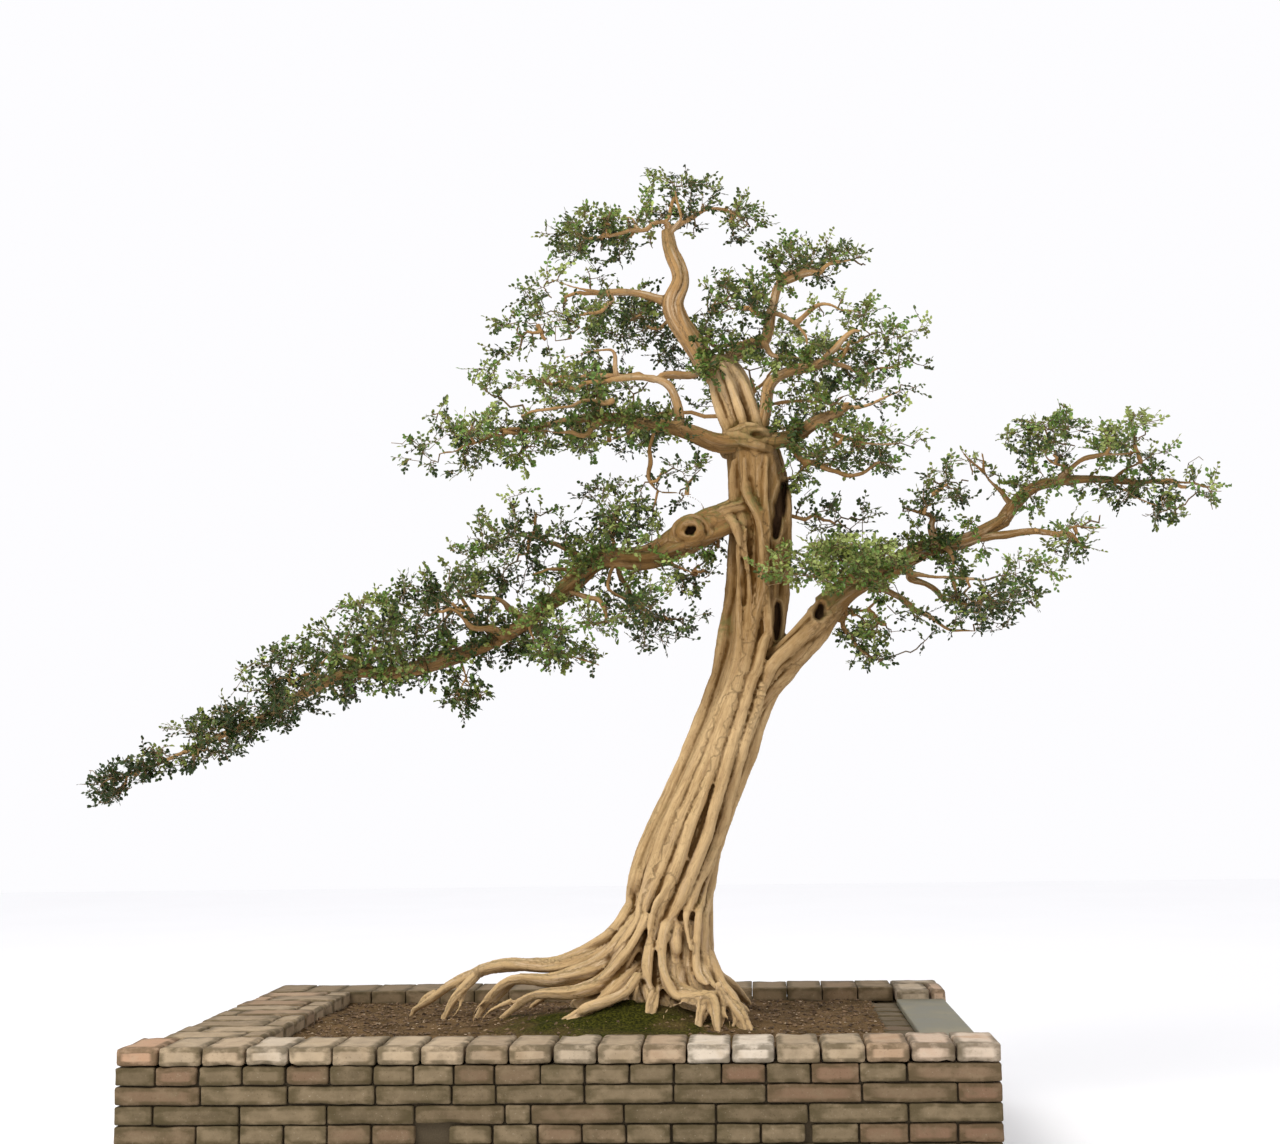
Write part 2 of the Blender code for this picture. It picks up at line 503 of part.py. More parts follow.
def trunk():
    """Core, sinews, swellings and roots fused into one skin, and cut flat at the soil."""
    chance = random.Random(SEED)
    core = [(place, radius - 0.016) for place, radius in smooth_path(TRUNK_SPINE, 3)]
    pieces = [tube("core", core, BARK, SCRATCH)]
    for number in range(STRANDS):
        pieces.append(tube(f"strand_{number}", strand_path(number, chance), BARK, SCRATCH))
    for name, points in ROOTS.items():
        pieces.append(tube(f"root_{name}", smooth_path(points, 3), BARK, SCRATCH))
    x, y, z, radius = WHORL
    pieces.append(ball("whorl", (x, y, z), (radius, radius, 0.45 * radius)))
    pieces.append(tube("fork", smooth_path(FORK, 3), BARK, SCRATCH))
    pieces.append(tube("elbow", smooth_path(ELBOW, 3), BARK, SCRATCH))

    joined = bmesh.new()
    for piece in pieces:
        joined.from_mesh(piece.data)
        bpy.data.objects.remove(piece, do_unlink=True)
    mesh = bpy.data.meshes.new("trunk")
    joined.to_mesh(mesh)
    joined.free()
    made = new_object("trunk", mesh, BARK)

    skin = made.modifiers.new("skin", "REMESH")
    skin.mode = "VOXEL"
    skin.voxel_size = TRUNK_VOXEL
    made = settle(made)
    largest_piece(made)
    thin = made.modifiers.new("thin", "DECIMATE")
    thin.ratio = TRUNK_FACES / (2 * len(made.data.polygons))
    made = settle(made)
    work = bmesh.new()
    work.from_mesh(made.data)
    cut = bmesh.ops.bisect_plane(work, geom=work.verts[:] + work.edges[:] + work.faces[:], dist=1e-6,
                                 plane_co=(0.0, 0.0, GROUND), plane_no=(0.0, 0.0, 1.0), clear_inner=True)
    rim = [edge for edge in cut["geom_cut"] if isinstance(edge, bmesh.types.BMEdge)]
    bmesh.ops.holes_fill(work, edges=rim)
    bmesh.ops.triangulate(work, faces=work.faces[:])
    bmesh.ops.recalc_face_normals(work, faces=work.faces[:])
    work.to_mesh(made.data)
    work.free()
    largest_piece(made)
    return made


def fattened(made, by):
    """A cutter: the same skin, moved out along its normals."""
    mesh = made.data.copy()
    work = bmesh.new()
    work.from_mesh(mesh)
    work.normal_update()
    for vert in work.verts:
        vert.co += vert.normal * by
    work.to_mesh(mesh)
    work.free()
    cutter = bpy.data.objects.new("cutter", mesh)
    SCRATCH.objects.link(cutter)
    cutter.hide_render = True
    cutter.display_type = "WIRE"
    return cutter


def fit_against(limb, parents):
    """Cuts the limb's buried end to the skin of what it grows from, just clear of it."""
    for parent in parents:
        cutter = fattened(parent, 1.4 * CLEAR)
        cut = limb.modifiers.new("fit", "BOOLEAN")
        cut.operation = "DIFFERENCE"
        cut.solver = "EXACT"
        cut.object = cutter
        limb = settle(limb)
        bpy.data.objects.remove(cutter, do_unlink=True)
        largest_piece(limb)
    return limb


def limbs(made):
    """Grows every limb, each fitted against all that was made before it."""
    for name, (_, points) in LIMBS.items():
        limb = tube(name, smooth_path(points, LIMB_SPANS), YOUNG_BARK)
        near = [other for other in made.values() if boxes_meet(limb, other)]
        made[name] = fit_against(limb, near)


def boxes_meet(first, second, margin=0.002):
    """Whether the two objects' boxes come within the margin."""
    spans = []
    for made in (first, second):
        corners = [vert.co for vert in made.data.vertices]
        spans.append([(min(c[axis] for c in corners), max(c[axis] for c in corners)) for axis in range(3)])
    return all(a[0] - margin < b[1] and b[0] - margin < a[1] for a, b in zip(*spans))


# ---- masses of foliage -----------------------------------------------------------------------------
def aimed(start, direction, length, side=Vector((0.0, 0.0, 1.0))):
    """A frame at start whose X axis runs along the direction; Z leans towards side."""
    ahead = direction.normalized()
    across = side.cross(ahead)
    if across.length < 1e-3:
        across = Vector((0.0, 1.0, 0.0)).cross(ahead)
    across.normalize()
    up = ahead.cross(across)
    turn = Matrix((ahead, across, up)).transposed().to_4x4()
    return Matrix.Translation(start) @ turn


def twig_mesh(start, end, first, last):
    """A three-sided twig that tapers from start to end."""
    work = bmesh.new()
    span = end - start
    frame = aimed(start, span, span.length) @ Matrix.Rotation(math.pi / 2, 4, "Y")
    frame = frame @ Matrix.Translation((0.0, 0.0, span.length / 2))
    bmesh.ops.create_cone(work, segments=3, cap_ends=True, radius1=first, radius2=last,
                          depth=span.length, matrix=frame)
    return work


def leaf_mesh(root, direction, lean, size, grow=1.0):
    """A blade of six faces: a root, a point, two edges and a raised midrib."""
    work = bmesh.new()
    frame = aimed(root, direction, 1.0, lean)
    half = Vector((LEAF_LONG, LEAF_WIDE, LEAF_THICK)) * size * 0.5
    ring = Matrix.Translation((half.x - LEAF_SUNK, 0.0, 0.0)) @ Matrix.Diagonal((half.x, half.y, half.z, 1.0))
    bmesh.ops.create_uvsphere(work, u_segments=3, v_segments=2, radius=grow,
                              matrix=frame @ ring @ Matrix.Rotation(math.pi / 2, 4, "Y"))
    return work


def depth_in(name, place):
    """0 at the middle of the mass's leaning ellipsoid, 1 on its skin."""
    centre, half, rise, _ = MASSES[name]
    away = [place[axis] - centre[axis] for axis in range(3)]
    away[2] -= rise * away[0]
    return math.sqrt(sum((away[axis] / half[axis]) ** 2 for axis in range(3)))


def in_own_space(name, place, edge=1.0):
    """Whether the place is in this mass's space: in its ellipsoid, and deeper there than in any other."""
    own = depth_in(name, place)
    if own > edge:
        return False
    return all(own < depth_in(other, place) + 0.02 for other in MASSES if other != name)


class Foliage:
    """One mass as it grows: its pieces, and what they have to stay clear of."""

    def __init__(self, name, obstacles, chance):
        self.name, self.obstacles, self.chance = name, obstacles, chance
        self.pieces = []
        self.nodes = []
        self.blades = []

    def clear(self, work):
        """Whether this piece touches no limb and no other mass."""
        tree = BVHTree.FromBMesh(work)
        return not any(tree.overlap(other) for other in self.obstacles)

    def add_twig(self, start, end, first, last):
        wide = twig_mesh(start, end, first * 1.5 + 0.001, last * 1.5 + 0.001)
        if not self.clear(wide):
            wide.free()
            return False
        wide.free()
        self.pieces.append(twig_mesh(start, end, first, last))
        return True

    def add_leaf(self, root, direction, size):
        """A blade at a chance tilt; one that would leave the space or touch a limb is tried smaller."""
        for share in (1.0, 0.85, 0.7):
            lean = Vector([self.chance.uniform(-1, 1) for _ in range(3)]) + Vector((0.0, 0.0, 0.5))
            wide = leaf_mesh(root, direction, lean, size * share, 1.1)
            tree = BVHTree.FromBMesh(wide)
            fits = all(in_own_space(self.name, vert.co, 1.2) for vert in wide.verts) and self.clear(wide)
            wide.free()
            if fits and not any(tree.overlap(other) for other in self.blades):
                self.pieces.append(leaf_mesh(root, direction, lean, size * share))
                self.blades.append(tree)
                return


def stem_starts(name, limbs_made):
    """Where the stem could leave its limb: off the flat end of a bough, or square off a facet of its side."""
    centre, _, _, parent = MASSES[name]
    middle = Vector(centre)
    if name in TIP_MASSES:
        path = smooth_path(LIMBS[parent][1], LIMB_SPANS)
        ahead = (path[-1][0] - path[-2][0]).normalized()
        return [(path[-1][0] + ahead * CLEAR, ahead)]
    found = []
    for face in limbs_made[parent].data.polygons:
        if face.area < SMALLEST_SEAT or parent == "trunk" and face.center.z < WHORL[2] - 0.4:
            continue
        out = middle - face.center
        score = out.length - 0.10 * face.normal.dot(out.normalized())
        found.append((score, face.center + face.normal * CLEAR, Vector(face.normal)))
    found.sort(key=lambda row: row[0])
    return [(start, ahead) for _, start, ahead in found[:80]]


def spread_points(name, count, chance):
    """Places spread evenly through the outer part of the mass's own space."""
    centre, half, rise, _ = MASSES[name]
    tries = []
    while len(tries) < 40 * count:
        place = Vector([chance.uniform(-1, 1) for _ in range(3)])
        if not 0.25 < place.length < 0.80:
            continue
        place = Vector([half[axis] * place[axis] for axis in range(3)])
        place.z += rise * place.x
        tries.append(Vector(centre) + place)
    tries = [place for place in tries if in_own_space(name, place, 0.85)]
    kept = [tries.pop(0)]
    while len(kept) < count and tries:
        far = max(tries, key=lambda place: min((place - other).length for other in kept))
        tries.remove(far)
        kept.append(far)
    return kept


def grow_mass(name, limbs_made, obstacles):
    """Stem, twigs and blades of one mass, fused into one solid."""
    chance = random.Random(f"{SEED} {name}")
    growth = Foliage(name, obstacles, chance)
    middle = Vector(MASSES[name][0])
    for base, ahead in stem_starts(name, limbs_made):
        elbow = base + ahead * max(SHORTEST_STEM, STEM_SHARE * (middle - base).length)
        heart = middle.lerp(elbow, HEART_SHARE)
        stem = twig_mesh(base, elbow, STEM_RADIUS, STEM_RADIUS * 0.9)
        sink = (elbow - base).normalized() * STEM_SUNK
        if growth.clear(stem) and growth.add_twig(elbow - sink, heart, STEM_RADIUS, STEM_RADIUS * 0.8):
            break
        stem.free()
    growth.pieces.insert(0, stem)
    growth.nodes = [elbow.lerp(heart, share) for share in (0.45, 0.7, 1.0)]
    targets = spread_points(name, SPRAYS, chance)
    targets.sort(key=lambda place: (place - heart).length)
    for target in targets:
        root = min(growth.nodes, key=lambda node: (node - target).length)
        way = target - root
        if way.length < SHORTEST_TWIG:
            continue
        start = root - way.normalized() * TWIG_SUNK
        if not growth.add_twig(start, target, TWIG_RADIUS, TWIG_RADIUS * 0.6):
            continue
        growth.nodes += [root.lerp(target, 0.5), target]
        growth.add_leaf(target, way, chance.uniform(0.85, 1.1))
        for side in (-1, 1):
            turn = Matrix.Rotation(side * chance.uniform(0.9, 1.4), 3, "Z")
            out = turn @ way
            out.z += 0.4 * way.length * chance.uniform(-1, 1)
            place = root.lerp(target, chance.uniform(0.55, 0.86))
            growth.add_leaf(place, out, chance.uniform(0.8, 1.05))
    return fuse(name, growth.pieces)


def fuse(name, pieces):
    """One Boolean union on a collection of the pieces."""
    group = bpy.data.collections.new(f"{name}_pieces")
    SCRATCH.children.link(group)
    base = None
    for piece in pieces:
        mesh = bpy.data.meshes.new(name)
        piece.to_mesh(mesh)
        piece.free()
        if base is None:
            base = new_object(name, mesh, LEAF)
        else:
            new_object("piece", mesh, LEAF, group)
    join = base.modifiers.new("join", "BOOLEAN")
    join.operation = "UNION"
    join.operand_type = "COLLECTION"
    join.collection = group
    join.solver = "MANIFOLD"
    made = settle(base, weld=False)
    for piece in list(group.objects):
        bpy.data.objects.remove(piece, do_unlink=True)
    bpy.data.collections.remove(group)
    largest_piece(made)
    return made


planter()
made_limbs = {"trunk": trunk()}
limbs(made_limbs)
blocked = [BVHTree.FromObject(limb, bpy.context.evaluated_depsgraph_get()) for limb in made_limbs.values()]
for mass in MASSES:
    grown = grow_mass(mass, made_limbs, blocked)
    blocked.append(BVHTree.FromObject(grown, bpy.context.evaluated_depsgraph_get()))
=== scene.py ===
"""Looks of a landscape bonsai in a planter of dry-laid bricks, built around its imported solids.

Metres, +Z up, in the frame of the solids: the origin is the middle of the planter's flat underside.
"""
import math
import random

import bpy
import numpy as np
from mathutils import Matrix, Vector, kdtree


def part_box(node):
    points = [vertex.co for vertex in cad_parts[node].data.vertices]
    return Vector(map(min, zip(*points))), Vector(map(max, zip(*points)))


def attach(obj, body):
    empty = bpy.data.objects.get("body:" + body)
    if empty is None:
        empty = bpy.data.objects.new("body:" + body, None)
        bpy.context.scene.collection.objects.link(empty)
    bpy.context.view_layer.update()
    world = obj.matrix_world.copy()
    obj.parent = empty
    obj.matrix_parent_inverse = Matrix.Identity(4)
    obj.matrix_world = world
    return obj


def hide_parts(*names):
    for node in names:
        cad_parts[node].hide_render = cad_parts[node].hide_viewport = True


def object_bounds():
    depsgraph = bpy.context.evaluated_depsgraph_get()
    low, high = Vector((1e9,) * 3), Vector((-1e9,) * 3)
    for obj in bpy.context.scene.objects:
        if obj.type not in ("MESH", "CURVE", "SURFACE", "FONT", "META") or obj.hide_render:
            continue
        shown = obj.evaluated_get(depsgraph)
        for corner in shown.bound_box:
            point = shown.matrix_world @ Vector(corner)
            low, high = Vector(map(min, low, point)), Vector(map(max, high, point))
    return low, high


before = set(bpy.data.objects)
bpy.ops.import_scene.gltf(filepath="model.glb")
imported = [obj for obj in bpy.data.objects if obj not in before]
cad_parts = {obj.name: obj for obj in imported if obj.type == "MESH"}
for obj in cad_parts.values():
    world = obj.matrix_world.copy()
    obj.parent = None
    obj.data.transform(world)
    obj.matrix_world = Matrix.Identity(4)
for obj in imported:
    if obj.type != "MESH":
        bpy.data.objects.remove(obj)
CAD_LOW, CAD_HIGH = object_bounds()
bpy.ops.object.select_all(action="DESELECT")


# ---- camera -----------------------------------------------------------------------------------------
# Stands six metres in front of the planter, a little right of its middle and about at the height of
# a seated viewer's eyes, and looks up into the crown.
IMAGE_WIDE = 1280.0          # in dots across the rendered image, as is the focal length
FOCAL_DOTS = 1902.4
SENSOR_WIDE = 36.0
YAW, PITCH, ROLL = math.radians(3.19), math.radians(6.50), math.radians(-0.79)
EYE = Vector((0.549, -6.097, 1.108))

ahead = Vector((-math.sin(YAW) * math.cos(PITCH), math.cos(YAW) * math.cos(PITCH), math.sin(PITCH)))
level = Vector((math.cos(YAW), math.sin(YAW), 0.0))
upward = level.cross(ahead)
eye_right = math.cos(ROLL) * level + math.sin(ROLL) * upward
eye_up = -math.sin(ROLL) * level + math.cos(ROLL) * upward
camera_data = bpy.data.cameras.new("view")
camera_data.sensor_width = SENSOR_WIDE
camera_data.lens = SENSOR_WIDE * FOCAL_DOTS / IMAGE_WIDE
camera = bpy.data.objects.new("view", camera_data)
bpy.context.scene.collection.objects.link(camera)
camera.matrix_world = Matrix.Translation(EYE) @ Matrix((eye_right, eye_up, -ahead)).transposed().to_4x4()
bpy.context.scene.camera = camera


# ---- floor, backdrop and light ----------------------------------------------------------------------
# A wide sheet of white paper that the planter stands on, under an even studio sky with one large
# soft lamp high on the left.
FLOOR_REACH = 16.0
FLOOR_DROP = 0.0005                         # below the planter's underside
LAMP_PLACE, LAMP_AIM = Vector((-3.5, -5.0, 6.5)), Vector((0.2, 0.0, 1.5))


# Every finish is a small tree of nodes: Value lets their sums be written as plain arithmetic.
class Value:
    """What comes out of a node: it can be added, multiplied and so on with numbers and other values."""

    def __init__(self, finish, socket):
        self.finish, self.socket = finish, socket

    def sum(self, operation, first, second):
        return self.finish.node("ShaderNodeMath", {"operation": operation}, {0: first, 1: second})

    def __add__(self, other):
        return self.sum("ADD", self, other)

    def __rsub__(self, other):
        return self.sum("SUBTRACT", other, self)

    def __mul__(self, other):
        return self.sum("MULTIPLY", self, other)

    __radd__, __rmul__ = __add__, __mul__

    def ramp(self, low, high, first=0.0, last=1.0):
        """Runs from first to last while the value runs from low to high, and stays there outside."""
        wires = {"Value": self, "From Min": low, "From Max": high, "To Min": first, "To Max": last}
        return self.finish.node("ShaderNodeMapRange", {"interpolation_type": "SMOOTHSTEP"}, wires)


class Finish:
    """One material: makes its nodes and wires them to the surface shader."""

    def __init__(self, name, roughness=0.8, **constants):
        self.material = bpy.data.materials.new(name)
        self.material.use_nodes = True
        self.tree = self.material.node_tree
        self.shader = self.tree.nodes["Principled BSDF"]
        self.shader.inputs["Roughness"].default_value = roughness
        for socket, value in constants.items():
            self.shader.inputs[socket.replace("_", " ")].default_value = value

    def node(self, kind, settings=None, wires=None, out=0):
        made = self.tree.nodes.new(kind)
        for key, value in (settings or {}).items():
            setattr(made, key, value)
        for key, value in (wires or {}).items():
            if isinstance(value, Value):
                self.tree.links.new(value.socket, made.inputs[key])
            else:
                made.inputs[key].default_value = value
        return Value(self, made.outputs[out])

    def place(self):
        return self.node("ShaderNodeTexCoord", out="Object")

    def stretched(self, place, scale):
        return self.node("ShaderNodeMapping", {"vector_type": "POINT"}, {"Vector": place, "Scale": scale})

    def own(self, name, out="Fac"):
        return self.node("ShaderNodeAttribute", {"attribute_name": name}, out=out)

    def clouds(self, place, scale, detail=4.0, rough=0.55):
        wires = {"Vector": place, "Scale": scale, "Detail": detail, "Roughness": rough}
        return self.node("ShaderNodeTexNoise", None, wires, out="Fac")

    def mix(self, share, first, last):
        """Colour between two colours; a colour is three numbers or a Value."""
        def colour(value):
            return value if isinstance(value, Value) else (*value, 1.0)
        wires = {0: share, 6: colour(first), 7: colour(last)}
        return self.node("ShaderNodeMix", {"data_type": "RGBA", "clamp_factor": True}, wires, out=2)

    def wear(self, colour=None, roughness=None, height=None, strength=0.4, distance=0.002):
        """Wires up what varies over the surface."""
        for socket, value in (("Base Color", colour), ("Roughness", roughness)):
            if value is not None:
                self.tree.links.new(value.socket, self.shader.inputs[socket])
        if height is not None:
            wires = {"Height": height, "Strength": strength, "Distance": distance}
            bump = self.node("ShaderNodeBump", None, wires, out="Normal")
            self.tree.links.new(bump.socket, self.shader.inputs["Normal"])
        return self.material


bpy.ops.mesh.primitive_plane_add(size=2 * FLOOR_REACH, location=(0.0, 0.0, -FLOOR_DROP))
floor = bpy.context.object
floor.name = "paper_floor"
paper = Finish("paper", roughness=0.9)
paper_grain = paper.clouds(paper.place(), 0.7)
floor.data.materials.append(paper.wear(paper.mix(paper_grain, (0.93, 0.93, 0.94), (0.97, 0.97, 0.98))))

world = bpy.data.worlds.new("studio")
bpy.context.scene.world = world
world.use_nodes = True
sky_light = world.node_tree.nodes["Background"]
sky_light.inputs["Color"].default_value = (0.985, 0.98, 1.0, 1.0)
sky_light.inputs["Strength"].default_value = 1.0
bpy.context.scene.view_settings.view_transform = "Standard"

lamp_data = bpy.data.lights.new("key", "AREA")
lamp_data.energy, lamp_data.size, lamp_data.color = 420.0, 3.5, (1.0, 0.97, 0.92)
lamp = bpy.data.objects.new("key", lamp_data)
bpy.context.scene.collection.objects.link(lamp)
lamp.location = LAMP_PLACE
lamp.rotation_euler = (LAMP_AIM - LAMP_PLACE).to_track_quat("-Z", "Y").to_euler()


# ---- bricks -----------------------------------------------------------------------------------------
# Old hand-pressed bricks laid dry, so each is a little out of square and out of line, its arrises are
# worn round and chipped, and the joints between them stay open and dark.
BRICK_LONG, BRICK_WIDE, COURSE = 0.242, 0.121, 0.0525    # each with its joint
JOINT = 0.0036
HALF_LONG, HALF_DEEP = 5 * BRICK_LONG, 3.5 * BRICK_LONG
WALL_COURSES = 7                            # under the coping
COPING_FOOT, RIM = WALL_COURSES * COURSE, (WALL_COURSES + 1) * COURSE
EDGE_ROW = 0.93                             # where the row of points next to a brick's edge lies
OUT_OF_LINE = 0.0022                        # how far a brick may be set back from the wall's face
brick_chance = random.Random(7)

# Bricks, bark, twigs and leaves come in thousands, so each kind is worked out as arrays and becomes
# one joined mesh.
HAIR = 1e-4                                 # how far inside the box of the solids every piece stays
MIXERS = np.array((73856093, 19349663, 83492791))       # turn a cell's three numbers into chance
SEED_SHIFT = 17.31                          # how far each seed moves the lattice of chance


def noise_at(points, scale, seed=0):
    """Smooth chance values from -1 to 1: a lattice of random numbers blended between its corners."""
    place = np.asarray(points, float) * scale + seed * SEED_SHIFT
    low = np.floor(place).astype(np.int64)
    share = place - low
    share = share * share * (3 - 2 * share)
    total = np.zeros(len(place))
    for corner in range(8):
        step = np.array([corner & 1, corner >> 1 & 1, corner >> 2 & 1])
        cell = ((low + step) & 0xFFFF) * MIXERS
        mixed = cell[:, 0] ^ cell[:, 1] ^ cell[:, 2]
        mixed = (mixed ^ mixed >> 13) * 1274126177 & 0xFFFFFF
        weight = np.prod(np.where(step, share, 1 - share), axis=1)
        total += weight * (mixed / 0x7FFFFF - 1.0)
    return total


def unit(vectors):
    """The same directions with length one."""
    return vectors / np.maximum(np.linalg.norm(vectors, axis=-1, keepdims=True), 1e-9)


def inside_box(points):
    """The same points, held a hair inside the box of the solids."""
    return np.clip(points, np.array(CAD_LOW) + HAIR, np.array(CAD_HIGH) - HAIR)


def array_object(name, points, faces, material, slot, smooth=True, **marks):
    """One object from arrays: its marks are numbers that its finish reads at each point."""
    mesh = bpy.data.meshes.new(name)
    count, sides = faces.shape
    mesh.vertices.add(len(points))
    mesh.vertices.foreach_set("co", np.asarray(points, np.float32).ravel())
    mesh.loops.add(count * sides)
    mesh.loops.foreach_set("vertex_index", np.asarray(faces, np.int32).ravel())
    mesh.polygons.add(count)
    mesh.polygons.foreach_set("loop_start", np.arange(0, count * sides, sides, dtype=np.int32))
    mesh.polygons.foreach_set("use_smooth", np.full(count, smooth))
    mesh.update(calc_edges=True)
    for mark, values in marks.items():
        kind, field = ("FLOAT_VECTOR", "vector") if np.ndim(values) == 2 else ("FLOAT", "value")
        kept = mesh.attributes.new(mark, kind, "POINT")
        kept.data.foreach_set(field, np.asarray(values, np.float32).ravel())
    mesh.materials.append(material)
    made = bpy.data.objects.new(name, mesh)
    bpy.context.scene.collection.objects.link(made)
    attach(made, "root")
    return made


def block(name, low, high, worn, segments, material, slot):
    """A block between two corners, with worn edges."""
    bpy.ops.mesh.primitive_cube_add(size=1.0, location=(low + high) / 2)
    made = bpy.context.object
    made.name = name
    made.dimensions = high - low
    bpy.ops.object.transform_apply(location=True, rotation=False, scale=True)
    bpy.ops.object.mode_set(mode="EDIT")
    bpy.ops.mesh.bevel(offset=worn, segments=segments)
    bpy.ops.object.mode_set(mode="OBJECT")
    made.data.materials.append(material)
    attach(made, "root")
    return made


def brick_blank(counts):
    """Points and faces of a box from -1 to 1, with a row of points close to each edge."""
    lines = []
    for count in counts:
        inner = np.linspace(-0.60, 0.60, count) if count > 2 else np.array([-0.40, 0.40])
        lines.append(np.concatenate([[-1.0, -EDGE_ROW], inner, [EDGE_ROW, 1.0]]))
    index, points, faces = {}, [], []

    def number(key):
        if key not in index:
            index[key] = len(points)
            points.append([lines[axis][key[axis]] for axis in range(3)])
        return index[key]

    for axis in range(3):
        first, second = (axis + 1) % 3, (axis + 2) % 3
        for end in (0, len(lines[axis]) - 1):
            for a in range(len(lines[first]) - 1):
                for b in range(len(lines[second]) - 1):
                    ring = []
                    for step_a, step_b in ((0, 0), (1, 0), (1, 1), (0, 1)):
                        key = [0, 0, 0]
                        key[axis], key[first], key[second] = end, a + step_a, b + step_b
                        ring.append(number(tuple(key)))
                    faces.append(ring if end else ring[::-1])
    return np.array(points), np.array(faces)


BLANK_POINTS, BLANK_FACES = brick_blank((4, 3, 2))


class Bricklayer:
    """Collects bricks, then makes one object of them."""

    def __init__(self):
        self.points, self.faces, self.count = [], [], 0
        self.marks = {"tone_and_shade": [], "warm": [], "pale": [], "edge": []}

    def lay(self, centre, size, warm=None, pale=0.0, worn=0.0055, loose=1.3, dark=0.0):
        """One brick: its middle, its size along X, Y and Z, how red, pale, worn, loose and dark it is."""
        chance = brick_chance
        half = np.array(size) / 2
        worn = worn * chance.uniform(0.7, 1.4)
        points = BLANK_POINTS * half
        band = np.abs(BLANK_POINTS) >= EDGE_ROW
        inset = (1 - np.abs(BLANK_POINTS)) * 1.1 * worn / (1 - EDGE_ROW)
        points = np.where(band, np.sign(points) * (half - inset), points)
        core = np.clip(points, -(half - worn), half - worn)
        away = points - core
        points = core + unit(away) * worn * (np.linalg.norm(away, axis=1, keepdims=True) > 1e-6)
        seed = chance.random() * 50
        swell = noise_at(points + seed, 22.0) * 0.0016 + noise_at(points + seed, 70.0) * 0.0009
        chips = np.clip(noise_at(points + seed, 35.0, 3) - 0.35, 0, 1) * (band.sum(1) > 1) * worn * 1.1
        points = points + unit(points / half ** 2) * (swell - chips - 0.0012)[:, None]
        turn = Matrix.Rotation(math.radians(chance.gauss(0, 0.25 * loose)), 3, "Z")
        turn = turn @ Matrix.Rotation(math.radians(chance.gauss(0, 0.15 * loose)), 3, "Y")
        points = points @ np.array(turn).T + np.array(centre)
        self.faces.append(BLANK_FACES + self.count)
        self.points.append(points)
        self.count += len(points)
        # Each brick's tone mark is its own chance tone plus dark; on the back coping, dark is painted shade
        # from the tree.
        values = (chance.random() + dark, chance.random() ** 3.5 if warm is None else warm, pale)
        for mark, value in zip(self.marks, values):
            self.marks[mark].append(np.full(len(points), value))
        self.marks["edge"].append(0.5 * band.sum(1))

    def row(self, start, stop, cuts, low, high, axis, reds=None, **how):
        """A row of bricks from start to stop along X (axis 0) or Y (axis 1).

        Cuts are shares of a brick, and one below zero leaves a gap; reds says how red some bricks are.
        """
        total = sum(abs(cut) for cut in cuts)
        place = start
        for number, cut in enumerate(cuts):
            span = (stop - start) * abs(cut) / total
            if cut < 0:
                place += span
                continue
            warm = (reds or {}).get(number)
            size = [high[0] - low[0], high[1] - low[1], high[2] - low[2] - JOINT * 0.4]
            centre = [(high[i] + low[i]) / 2 for i in range(3)]
            size[axis], centre[axis] = span - JOINT, place + span / 2
            push = brick_chance.uniform(-OUT_OF_LINE, 0.0)
            side = 1 - axis
            faces_back = low[side] >= -0.5 * (HALF_DEEP if side else HALF_LONG)
            centre[side] += push if faces_back else -push
            self.lay(centre, size, warm, **how)
            place += span

    def finish(self, name, material, slot):
        """One object of all the bricks laid so far."""
        marks = {mark: np.concatenate(values) for mark, values in self.marks.items()}
        points = inside_box(np.concatenate(self.points))
        return array_object(name, points, np.concatenate(self.faces), material, slot, **marks)


def brick_finish(name, body, shade, red, chalk):
    """Fired clay: a dusty body colour that changes from brick to brick, with stains, pits and lime; the tone
    mark leans a brick to the shade colour, which on the back coping is painted shade.
    """
    paint = Finish(name, Specular_IOR_Level=0.2)
    place = paint.place()
    stain = paint.clouds(place, 9.0, 6.0, 0.62)
    grit = paint.clouds(place, 160.0, 3.0, 0.6)
    blotch = paint.clouds(paint.stretched(place, (1.0, 1.0, 1.6)), 20.0, 5.0, 0.6)
    # Body to shade by each brick's tone mark: its own tone, and painted shade on the back coping.
    colour = paint.mix(paint.own("tone_and_shade") * 0.60 + blotch.ramp(0.30, 0.70) * 0.40, body, shade)
    colour = paint.mix(paint.own("warm").ramp(0.35, 1.0) * blotch.ramp(0.2, 0.55, 0.25, 0.75), colour, red)
    colour = paint.mix(paint.own("pale") * stain.ramp(0.28, 0.55, 0.35, 1.0), colour, chalk)
    colour = paint.mix(stain.ramp(0.52, 0.72) * 0.50, colour, (0.075, 0.058, 0.024))
    colour = paint.mix(grit.ramp(0.62, 0.75) * 0.30, colour, (0.50, 0.42, 0.31))
    colour = paint.mix(grit.ramp(0.40, 0.28) * 0.45, colour, (0.060, 0.042, 0.020))
    dirt = paint.own("edge").ramp(0.45, 1.0) * blotch.ramp(0.25, 0.6)
    colour = paint.mix(dirt * 0.70, colour, (0.060, 0.045, 0.018))
    pits = paint.clouds(place, 60.0, 6.0, 0.7)
    return paint.wear(colour, stain.ramp(0.3, 0.7, 0.95, 0.82), pits + grit * 0.35, 0.55, 0.0022)


BRICK_FINISH = brick_finish("weathered_brick", (0.225, 0.168, 0.100), (0.105, 0.077, 0.042),
                            (0.215, 0.122, 0.075), (0.40, 0.33, 0.24))
COPING_FINISH = brick_finish("coping_brick", (0.450, 0.340, 0.215), (0.230, 0.165, 0.095),
                             (0.440, 0.235, 0.130), (0.66, 0.57, 0.46))
